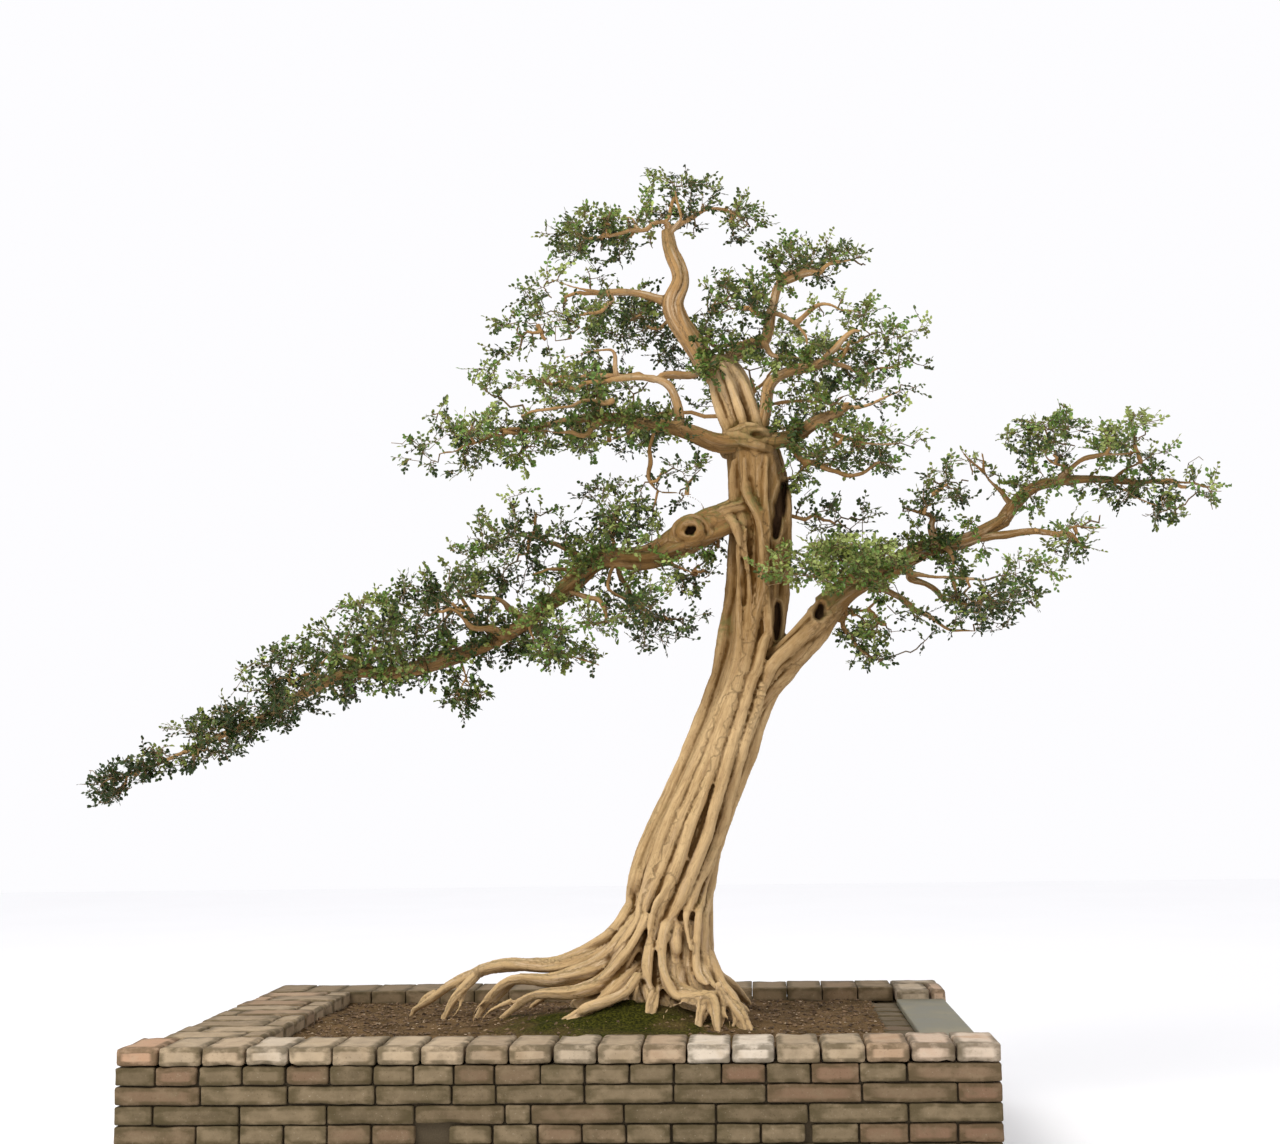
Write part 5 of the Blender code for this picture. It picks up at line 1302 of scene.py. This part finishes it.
def bark_finish(name, pale, mid, deep):
    """Bark: thin and smooth on the ridges, streaked along the strands; browner and darker in the grooves,
    partly painted shade, paler on the ridges as painted light, with painted shade under the crown and in the
    old wounds.
    """
    paint = Finish(name, Specular_IOR_Level=0.06)
    place, grain = paint.place(), paint.own("grain", "Vector")
    groove_shading, hollow, high = paint.own("groove_shading"), paint.own("hollow"), paint.own("high")
    streak = paint.clouds(grain, 95.0, 5.0, 0.6)
    fibre = paint.clouds(grain, 330.0, 3.0, 0.6)
    cloud = paint.clouds(place, 6.0, 5.0, 0.6)
    spots = paint.clouds(place, 70.0, 4.0, 0.65)
    # The high mark darkens the bark toward mid and then a dark brown: painted shade of the crown on the upper
    # trunk.
    colour = paint.mix(streak.ramp(0.38, 0.66) * 0.75 + cloud.ramp(0.35, 0.7) * 0.40 + high * 0.50, pale, mid)
    colour = paint.mix(high * cloud.ramp(0.30, 0.65, 0.45, 0.75), colour, (0.195, 0.105, 0.032))
    colour = paint.mix(paint.own("bleach") * streak.ramp(0.45, 0.70) * 0.8, colour, (0.740, 0.570, 0.385))
    colour = paint.mix(spots.ramp(0.56, 0.72) * 0.40, colour, deep)
    colour = paint.mix(fibre.ramp(0.52, 0.70) * 0.35, colour, deep)
    # Grooves toward deep: painted shade on top of the bark's browner colour there; ridges toward pale:
    # painted light, weaker under the crown.
    colour = paint.mix(groove_shading.ramp(-0.05, 0.75) * 0.94, colour, deep)
    colour = paint.mix(groove_shading.ramp(-0.25, -0.9) * (0.6 - high * 0.4), colour, pale)
    moss = paint.own("moss") * spots.ramp(0.35, 0.60) * (0.25 + high * 0.5)
    colour = paint.mix(moss, colour, (0.145, 0.145, 0.048))
    # Near black inside the old wounds: painted shade in their recesses.
    colour = paint.mix(hollow.ramp(0.35, 0.9) * 0.92, colour, (0.045, 0.024, 0.013))
    relief = streak + fibre * 0.45 + spots * 0.35
    return paint.wear(colour, streak.ramp(0.3, 0.7, 0.62, 0.85), relief, 0.9, 0.004)


TRUNK_BARK = bark_finish("trunk_bark", (0.625, 0.440, 0.230), (0.350, 0.213, 0.086), (0.080, 0.034, 0.005))
BOUGH_BARK = bark_finish("bough_bark", (0.500, 0.298, 0.128), (0.265, 0.145, 0.052), (0.055, 0.024, 0.004))
trunk_names = ("root_wood", "trunk_wood")
trunk_wood = dress_wood(lines, TRUNK_VOXEL, 0.0012, trunk_names, TRUNK_BARK, "bark", ROOT_CUT)
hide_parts("trunk")
bough_wood = dress_wood(thin_lines, BOUGH_VOXEL, 0.0013, ("bough_wood",), BOUGH_BARK, "young_bark",
                        mossy=0.75)
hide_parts(*LIMBS)
side_tubes = [knobbly(line, 0.22) for line in side_lines]
dress_wood(side_tubes, SIDE_VOXEL, 0.0009, ("side_limbs",), BOUGH_BARK, "young_bark")


# ---- foliage ----------------------------------------------------------------------------------------
# Each mass is an open pad of clipped shoots: a stem leaves its limb, forks into twigs that spread
# through the pad's own space, and each twig ends in short shoots with small glossy leaves.
# Each row: centre, half sizes, rise for each metre to the right, and the limb that carries the stem.
MASSES = {
    "apex_top": ((0.35, 0.00, 3.07), (0.15, 0.23, 0.115), 0.00, "leader"),
    "apex_left": ((0.10, -0.03, 2.92), (0.19, 0.25, 0.089), 0.12, "leader"),
    "apex_right": ((0.52, 0.03, 2.96), (0.14, 0.22, 0.078), 0.00, "leader"),
    "upper_left": ((-0.03, -0.08, 2.70), (0.19, 0.28, 0.116), 0.00, "upper_left_bough"),
    "upper_back": ((0.22, 0.30, 2.67), (0.26, 0.24, 0.160), 0.00, "leader"),
    "third_left": ((-0.07, -0.16, 2.53), (0.22, 0.27, 0.086), 0.00, "leader"),
    "fourth_left": ((-0.09, -0.20, 2.38), (0.23, 0.29, 0.079), 0.00, "fourth_left_bough"),
    "lower_left_pad": ((-0.32, -0.13, 2.22), (0.23, 0.30, 0.094), 0.20, "mid_left_bough"),
    "mid_left_top": ((0.11, 0.02, 2.29), (0.20, 0.24, 0.103), 0.00, "mid_left_bough"),
    "hanging": ((0.37, -0.03, 2.09), (0.12, 0.15, 0.097), 0.00, "mid_left_bough"),
    "back_left": ((0.06, 0.36, 2.42), (0.28, 0.26, 0.160), 0.00, "back_bough"),
    "back_crown": ((0.66, 0.40, 2.54), (0.28, 0.25, 0.200), 0.00, "back_bough"),
    "crown_right_tip": ((0.80, 0.06, 2.84), (0.24, 0.24, 0.080), 0.00, "crown_right_bough"),
    "crown_right_side": ((0.55, 0.02, 2.68), (0.15, 0.24, 0.117), 0.00, "crown_right_bough"),
    "upper_right": ((0.92, 0.02, 2.57), (0.22, 0.28, 0.138), 0.00, "upper_right_bough"),
    "mid_right": ((0.89, -0.12, 2.32), (0.21, 0.26, 0.085), 0.10, "mid_right_bough"),
    "low_right": ((0.92, -0.13, 2.17), (0.21, 0.26, 0.081), 0.00, "trunk"),
    "back_hanging": ((0.86, 0.18, 1.98), (0.15, 0.19, 0.119), 0.00, "trunk"),
    "left_elbow_top": ((0.13, 0.00, 2.00), (0.16, 0.26, 0.127), 0.00, "left_bough_inner"),
    "left_mid_top": ((-0.15, -0.02, 1.89), (0.19, 0.28, 0.164), 0.00, "left_bough_inner"),
    "left_third_top": ((-0.41, -0.06, 1.72), (0.16, 0.28, 0.161), 0.20, "left_bough_outer"),
    "left_fourth": ((-0.64, -0.10, 1.57), (0.21, 0.30, 0.166), 0.25, "left_bough_outer"),
    "left_fifth": ((-0.91, -0.10, 1.45), (0.21, 0.27, 0.133), 0.30, "left_bough_outer"),
    "left_sixth": ((-1.18, -0.08, 1.29), (0.23, 0.22, 0.091), 0.36, "left_bough_outer"),
    "left_tip": ((-1.47, -0.06, 1.16), (0.12, 0.15, 0.067), 0.35, "left_bough_outer"),
    "left_under_inner": ((-0.07, -0.08, 1.60), (0.22, 0.27, 0.109), 0.10, "left_bough_inner"),
    "left_under_near": ((0.25, -0.08, 1.66), (0.17, 0.27, 0.117), 0.00, "left_bough_inner"),
    "left_trunk_side": ((0.38, -0.02, 1.80), (0.10, 0.18, 0.078), 0.00, "left_bough_inner"),
    "right_front": ((0.82, -0.22, 1.79), (0.23, 0.18, 0.083), 0.00, "right_bough_inner"),
    "right_inner_under": ((1.01, 0.04, 1.61), (0.16, 0.25, 0.107), 0.00, "right_bough_inner"),
    "right_under_outer": ((1.33, -0.02, 1.70), (0.21, 0.29, 0.107), 0.30, "right_bough_inner"),
    "right_top": ((1.21, -0.02, 2.07), (0.17, 0.27, 0.092), 0.45, "right_bough_inner"),
    "right_outer_a": ((1.54, -0.01, 2.21), (0.15, 0.26, 0.090), 0.00, "right_bough_outer"),
    "right_outer_b": ((1.81, 0.04, 2.20), (0.15, 0.23, 0.091), 0.00, "right_bough_outer"),
    "right_tip": ((1.99, 0.04, 2.04), (0.14, 0.18, 0.084), 0.30, "right_bough_outer"),
    "right_side": ((1.60, -0.05, 1.89), (0.15, 0.23, 0.085), 0.00, "right_bough_inner"),
}
TIP_MASSES = {              # their stems grow on from the limb's end
    "apex_top", "upper_left", "fourth_left", "lower_left_pad", "crown_right_tip", "upper_right",
    "mid_right", "back_crown", "left_tip", "right_tip",
}
GRADES = {                  # how thickly twigs stand, against the usual, and the masses of each grade
    0.30: ("third_left", "hanging", "back_crown", "mid_right", "back_hanging"),
    0.40: ("upper_left", "right_side", "mid_left_top"),
    0.50: ("apex_right", "fourth_left", "back_left", "upper_right", "right_inner_under", "right_top",
           "right_tip"),
    0.60: ("apex_top", "upper_back", "crown_right_tip", "left_mid_top", "left_trunk_side"),
    0.80: ("lower_left_pad", "crown_right_side", "left_elbow_top", "left_sixth", "left_under_inner",
           "left_under_near", "right_under_outer"),
    1.00: ("low_right", "left_third_top", "left_fourth", "left_fifth", "right_outer_a", "right_outer_b"),
    1.25: ("apex_left", "left_tip"),
    2.00: ("right_front",),
}
DENSITY = {name: grade for grade, names in GRADES.items() for name in names}
LEAFY_LIMBS = (             # limb, from and to as shares of its length, and how many shoots it bears there
    ("left_bough_inner", 0.40, 1.00, 60), ("left_bough_outer", 0.00, 0.95, 135),
    ("right_bough_inner", 0.25, 0.90, 50), ("right_bough_outer", 0.20, 1.00, 45),
    ("mid_left_bough", 0.35, 1.00, 40), ("mid_right_bough", 0.30, 1.00, 25),
    ("crown_right_bough", 0.30, 1.00, 20), ("upper_right_bough", 0.35, 1.00, 20), ("trunk", 0.88, 1.00, 22),
)
TWIGS_PER_AREA = 820.0      # for each square metre that a mass covers, seen from the front
TRIES = 6000                # places tried for twigs in each mass
ARMS = 4                    # crooked side branches from each stem
SHOOTS = 6                  # shoots on each twig
TUFT_TWIGS, TUFT_SHOOTS = 16, 3             # on a small limb that ends outside every mass
BARK_SHOOTS = 4             # on each twig that breaks out of a limb's bark
SHOOT_THICK, SHOOT_THIN = 0.0012, 0.0007
BRANCH_THICK = 0.0042       # what is thicker is a branch, and rounder than a twig
BRANCH_SIDES, TWIG_SIDES = 7, 3
LEAFLET_TURNS = (58, -58, 52, -50, 44, 0)   # of a spray's leaves, in degrees from its shoot
LEAF_LONG, LEAF_WIDE = 0.0150, 0.0104
TINTS = {
    "deep": (0.023, 0.044, 0.006), "grey": (0.074, 0.108, 0.024), "olive": (0.165, 0.200, 0.038),
    "fresh": (0.120, 0.208, 0.038), "bright": (0.290, 0.350, 0.100),
}
TINT_LIMITS = (0.26, 0.52, 0.74, 0.90)      # shares of the sprays up to which each tint but the last goes
GLOW = {                    # masses whose leaves get painted light or painted shade: lighter or darker than the rest
    "left_under_inner": 0.4, "hanging": -0.9, "fourth_left": 0.35, "lower_left_pad": 0.2,
    "upper_right": 0.3, "back_crown": 0.4, "crown_right_side": -0.3, "left_under_near": -0.4,
    "left_fourth": 0.3, "left_sixth": -0.2, "left_tip": -0.2, "right_front": 0.7, "right_outer_b": 0.4,
    "right_top": 0.3, "low_right": 0.2, "mid_left_top": 0.3, "right_tip": 0.2, "right_under_outer": -0.2,
}
CENTRES, HALVES, RISES = (np.array([row[field] for row in MASSES.values()]) for field in range(3))
LIMB_LINES = {**limb_lines, "trunk": spine[spine[:, 2] > WHORL[2] - 0.4]}
BEARERS = np.vstack([*LIMB_LINES.values(), *side_lines])    # everything that a twig can grow from


def depth_in(number, places):
    """How deep each place lies in the mass's leaning ellipsoid: 0 in its middle, 1 at its skin."""
    away = places - CENTRES[number]
    away[:, 2] -= RISES[number] * away[:, 0]
    return np.linalg.norm(away / HALVES[number], axis=1)


def stem_of(number, name):
    """Where the mass's stem leaves its limb, and which way it sets off."""
    parent = MASSES[name][3]
    if name in TIP_MASSES:
        line = LIMB_LINES[parent]
        return line[-1, :3], unit(line[-1, :3] - line[-2, :3])
    close = [side for side in side_lines if depth_in(number, side[:, :3]).min() < 0.8]
    line = np.vstack([LIMB_LINES[parent], *close])
    near = line[np.argmin(np.linalg.norm(CENTRES[number] - line[:, :3], axis=1))]
    return near[:3], unit(CENTRES[number] - near[:3])


class Growth:
    """All the branches, twigs and sprays of leaves, as lists that become arrays at the end."""

    def __init__(self):
        self.branches, self.twigs, self.sprays = [], [], []

    def crooked(self, start, end, thick, thin, chance, steps, bent, kept):
        """A branch that winds from start to end; its places and thicknesses are added to kept."""
        share = np.linspace(0.0, 1.0, steps + 1)
        places = start + (end - start) * share[:, None]
        wander = chance.normal(size=(steps + 1, 3)) * np.linalg.norm(end - start) * bent
        wander[0] = wander[-1] = 0.0
        places = places + wander
        sizes = thick + (thin - thick) * share
        for index in range(steps):
            row = (places[index], places[index + 1], sizes[index], sizes[index + 1])
            (self.branches if sizes[index] > BRANCH_THICK else self.twigs).append(row)
        for index in range(1, steps + 1):
            kept.append((*places[index], sizes[index]))
            kept.append((*(places[index - 1] + places[index]) / 2, sizes[index]))

    def shoot(self, start, turn, length, height, mass):
        """A thin shoot with its spray of leaves; height and mass decide its tint, as painted light and shade.
        """
        self.twigs.append((start, start + turn * length, SHOOT_THICK, SHOOT_THIN))
        self.sprays.append((*start, *turn, length, height, mass))


def nearest(nodes, target):
    """The node that is closest to the target, and how far apart they are."""
    rows = np.array(nodes)
    away = np.linalg.norm(rows[:, :3] - target, axis=1)
    return rows[np.argmin(away)], away.min()


def outwards(places, centre):
    """The places in the order in which a mass grows to them."""
    return places[np.argsort(np.linalg.norm(places - centre, axis=1))]


def grow_mass(number, name, growth):
    """One mass by the same rule as its solid, carried on to finer twigs and shoots."""
    chance = np.random.default_rng(SEED * 100 + number)
    centre, half = CENTRES[number], HALVES[number]
    base, out = stem_of(number, name)
    elbow = base + out * 0.22 * np.linalg.norm(centre - base)
    heart = centre + (elbow - centre) * 0.25
    nodes = []
    growth.crooked(base, elbow, 0.0080, 0.0072, chance, 2, 0.05, nodes)
    growth.crooked(elbow, heart, 0.0072, 0.0056, chance, 4, 0.07, nodes)
    inside = BEARERS[depth_in(number, BEARERS[:, :3]) < 1.15]
    nodes += [(*row[:3], min(row[3], 0.0075)) for row in inside]
    tries = half * unit(chance.normal(size=(TRIES, 3))) * chance.random((TRIES, 1)) ** 0.40 * 1.20
    tries[:, 2] += RISES[number] * tries[:, 0]
    tries += centre
    depth = depth_in(number, tries)
    clump = noise_at(tries, 15.0, 12) + 0.6 * noise_at(tries, 33.0, 13)
    tries = tries[(depth + 0.22 * noise_at(tries, 9.0, 14) < 1.10) & (clump > 0.60 * depth - 1.05)]
    for target in outwards(tries[depth_in(number, tries) < 0.85][:ARMS], heart):
        node, away = nearest(nodes, target)
        if away > 0.03:
            thick = min(node[3] * 0.88, 0.0060)
            growth.crooked(node[:3], target, thick, max(0.0026, thick * 0.5), chance, 5, 0.06, nodes)
    count = int(TWIGS_PER_AREA * math.pi * half[0] * half[2] * DENSITY[name])
    shoots = []
    for target in outwards(tries[-count:], heart):
        node, _ = nearest(nodes, target)
        root = node[:3]
        growth.crooked(root, target, min(node[3] * 0.75, 0.0034), 0.0013, chance, 3, 0.12, nodes)
        way = unit(target - root + 1e-6)
        for _ in range(SHOOTS):
            place = root + (target - root) * chance.uniform(0.15, 1.0)
            turn = unit(way * 0.5 + unit((place - centre) / half) * 0.35 + chance.normal(size=3) * 0.8
                        + np.array((0, 0, 0.22)))
            shoots.append((*place, *turn, chance.uniform(0.025, 0.075)))
    shoots = np.array(shoots)
    starts, turns, lengths = shoots[:, :3], shoots[:, 3:6], shoots[:, 6]
    tips = starts + turns * lengths[:, None]
    height = (tips[:, 2] - centre[2]) / half[2]
    for index in np.flatnonzero(depth_in(number, tips + turns * 0.012) < 1.25):
        growth.shoot(starts[index], turns[index], lengths[index], height[index], number)


def grow_tuft(number, line, growth):
    """A few twigs at the end of a small limb that reaches out of every mass."""
    if min(depth_in(mass, line[-1:, :3])[0] for mass in range(len(MASSES))) < 0.95:
        return
    chance = np.random.default_rng(SEED * 1000 + number)
    for _ in range(TUFT_TWIGS):
        start = line[int(chance.integers(len(line) // 3, len(line))), :3]
        target = start + unit(chance.normal(size=3)) * chance.uniform(0.02, 0.05)
        growth.crooked(start, target, 0.0024, 0.0012, chance, 2, 0.10, [])
        for _ in range(TUFT_SHOOTS):
            turn = unit(unit(target - start) + 0.8 * chance.normal(size=3))
            growth.shoot(target, turn, chance.uniform(0.02, 0.04), 0.0, -1)


def grow_along(name, low, high, count, growth):
    """Short leafy shoots that break out of the bark along a limb, between two shares of its length."""
    line = LIMB_LINES[name]
    chance = np.random.default_rng(SEED * 2000 + count)
    for _ in range(count):
        here = int(chance.uniform(low, high) * (len(line) - 1))
        way = unit(line[min(here + 1, len(line) - 1), :3] - line[max(here - 1, 0), :3])
        out = chance.normal(size=3) + (0.0, -0.5, 0.15)
        out = unit(out - way * (out @ way))
        start = line[here, :3] + out * line[here, 3] * 0.9
        target = start + unit(out + way * chance.normal() * 0.8) * chance.uniform(0.015, 0.055)
        growth.crooked(start, target, 0.0022, 0.0012, chance, 2, 0.12, [])
        for _ in range(BARK_SHOOTS):
            turn = unit(unit(target - start) * 0.8 + chance.normal(size=3))
            growth.shoot(target, turn, chance.uniform(0.02, 0.05), 0.3, -1)


growth = Growth()
for number, name in enumerate(MASSES):
    grow_mass(number, name, growth)
for name, low, high, count in LEAFY_LIMBS:
    grow_along(name, low, high, count, growth)
for number, line in enumerate(side_lines):
    grow_tuft(number, line, growth)


def twig_arrays(twigs, sides):
    """Points and triangles of all the twigs: tapering rods, joined in one mesh."""
    start = np.array([row[0] for row in twigs])
    end = np.array([row[1] for row in twigs])
    size = np.array([[row[2], row[3]] for row in twigs])
    along = unit(end - start)
    first = unit(np.cross(along, np.where(np.abs(along[:, 2:3]) > 0.9, (1.0, 0.0, 0.0), (0.0, 0.0, 1.0))))
    ring = rings(first, np.cross(along, first), sides)
    low = (start - along * size[:, :1] * 0.4)[:, None] + ring * size[:, 0, None, None]
    high = (end + along * size[:, 1:] * 0.4)[:, None] + ring * size[:, 1, None, None]
    points = np.concatenate([low, high], axis=1).reshape(-1, 3)
    around = np.arange(sides)
    after = (around + 1) % sides
    caps = np.arange(1, sides - 1)
    pattern = np.concatenate([
        np.stack([around, after, after + sides], 1), np.stack([around, after + sides, around + sides], 1),
        np.stack([caps * 0 + sides, caps + sides, caps + sides + 1], 1),
    ])
    return points, copies(pattern, 2 * sides, len(twigs))


TWIG_BARK = mottled("twig_bark", 90.0, (0.230, 0.140, 0.055), (0.090, 0.060, 0.020), distance=0.001)
branch_points, branch_faces = twig_arrays(growth.branches, BRANCH_SIDES)
array_object("side_branches", inside_box(branch_points), branch_faces, BOUGH_BARK, "young_bark")
twig_points, twig_faces = twig_arrays(growth.twigs, TWIG_SIDES)
array_object("twigs", inside_box(twig_points), twig_faces, TWIG_BARK, "young_bark")

# Leaves: six small oval blades to a spray, held up to the light, and dealt out to five tints, partly by
# painted light and shade.
LEAF_OUTLINE = np.array([(0.0, 0.0, 0.0), (0.30, 0.42, 0.10), (0.68, 0.40, 0.08), (1.0, 0.0, -0.10),
                         (0.68, -0.40, 0.08), (0.30, -0.42, 0.10), (0.50, 0.0, -0.06)])
LEAF_FACES = np.array([(0, 6, 1), (1, 6, 2), (2, 6, 3), (3, 6, 4), (4, 6, 5), (5, 6, 0)])[:, ::-1]
LEAF_SEED = 21
leaf_chance = np.random.default_rng(LEAF_SEED)


def leaf_places(roots, turns, lengths):
    """The points of every leaf: one row to a spray, then its leaves, then their outline."""
    count, leaflets = len(roots), len(LEAFLET_TURNS)
    skywards = np.array((0.0, 0.0, 0.8)) + 0.5 * turns * (1, 1, 0)
    normal = unit(skywards + leaf_chance.normal(size=(count, 3)) * 0.5)
    normal = unit(normal - (normal * turns).sum(1, keepdims=True) * turns)
    side = np.cross(normal, turns)
    share = np.linspace(0.25, 1.0, leaflets)
    root = roots[:, None] + turns[:, None] * share[None, :, None] * lengths[:, None, None]
    swing = np.radians(LEAFLET_TURNS)[None] + leaf_chance.normal(size=(count, leaflets)) * 0.3
    way = unit(np.cos(swing)[..., None] * turns[:, None] + np.sin(swing)[..., None] * side[:, None]
               + leaf_chance.normal(size=(count, leaflets, 3)) * 0.3)
    face = unit(normal[:, None] + leaf_chance.normal(size=(count, leaflets, 3)) * 0.5)
    face = unit(face - (face * way).sum(2, keepdims=True) * way)
    across = np.cross(face, way)
    scale = leaf_chance.uniform(0.70, 1.20, (count, leaflets, 1, 1))
    shape = LEAF_OUTLINE[None, None]
    return (root[:, :, None] + way[:, :, None] * shape[..., 0:1] * LEAF_LONG * scale
            + across[:, :, None] * shape[..., 1:2] * LEAF_WIDE * scale * 1.15
            + face[:, :, None] * shape[..., 2:3] * LEAF_WIDE * scale)


def leaf_finish(name, colour):
    """A glossy leaf whose colour drifts a little from place to place."""
    paint = Finish(name, roughness=0.5, Specular_IOR_Level=0.3)
    fine = paint.clouds(paint.place(), 45.0, 3.0)
    darker = tuple(0.72 * part for part in colour)
    lighter = tuple(min(1.0, 1.30 * part) for part in colour)
    return paint.wear(paint.mix(fine.ramp(0.35, 0.65), darker, lighter), fine.ramp(0.3, 0.7, 0.36, 0.52))


sprays = np.array(growth.sprays)
roots, height, mass = sprays[:, :3], sprays[:, 7], sprays[:, 8].astype(int)
leaf_points = leaf_places(roots, sprays[:, 3:6], sprays[:, 6])
# Tints are dealt out partly as painted light and shade: sprays high in their mass, in the upper crown and in
# the lighter GLOW masses get lighter tints, the low boughs toward the left and the darker GLOW masses darker
# ones; the noise and chance terms are the leaves' own spread of colour.
lit = height * 0.7 + noise_at(roots, 9.0, 8) * 0.9 + leaf_chance.normal(size=len(sprays)) * 0.45
low_side = np.interp(roots[:, 0], (-1.2, -0.7, 0.4), (-0.50, -0.10, 0.15))
lit += np.where(roots[:, 2] < 2.1, low_side, 0.25)
lit += np.array([*(GLOW.get(name, 0.0) for name in MASSES), 0.0])[mass]
tint_of = np.digitize(lit, np.quantile(lit, TINT_LIMITS))
for tint, (name, colour) in enumerate(TINTS.items()):
    chosen = leaf_points[tint_of == tint].reshape(-1, 3)
    faces = copies(LEAF_FACES, len(LEAF_OUTLINE), len(chosen) // len(LEAF_OUTLINE))
    paint = leaf_finish(f"leaf_{name}", colour)
    array_object(f"leaves_{name}", inside_box(chosen), faces, paint, "leaf", smooth=False)
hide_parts(*MASSES)
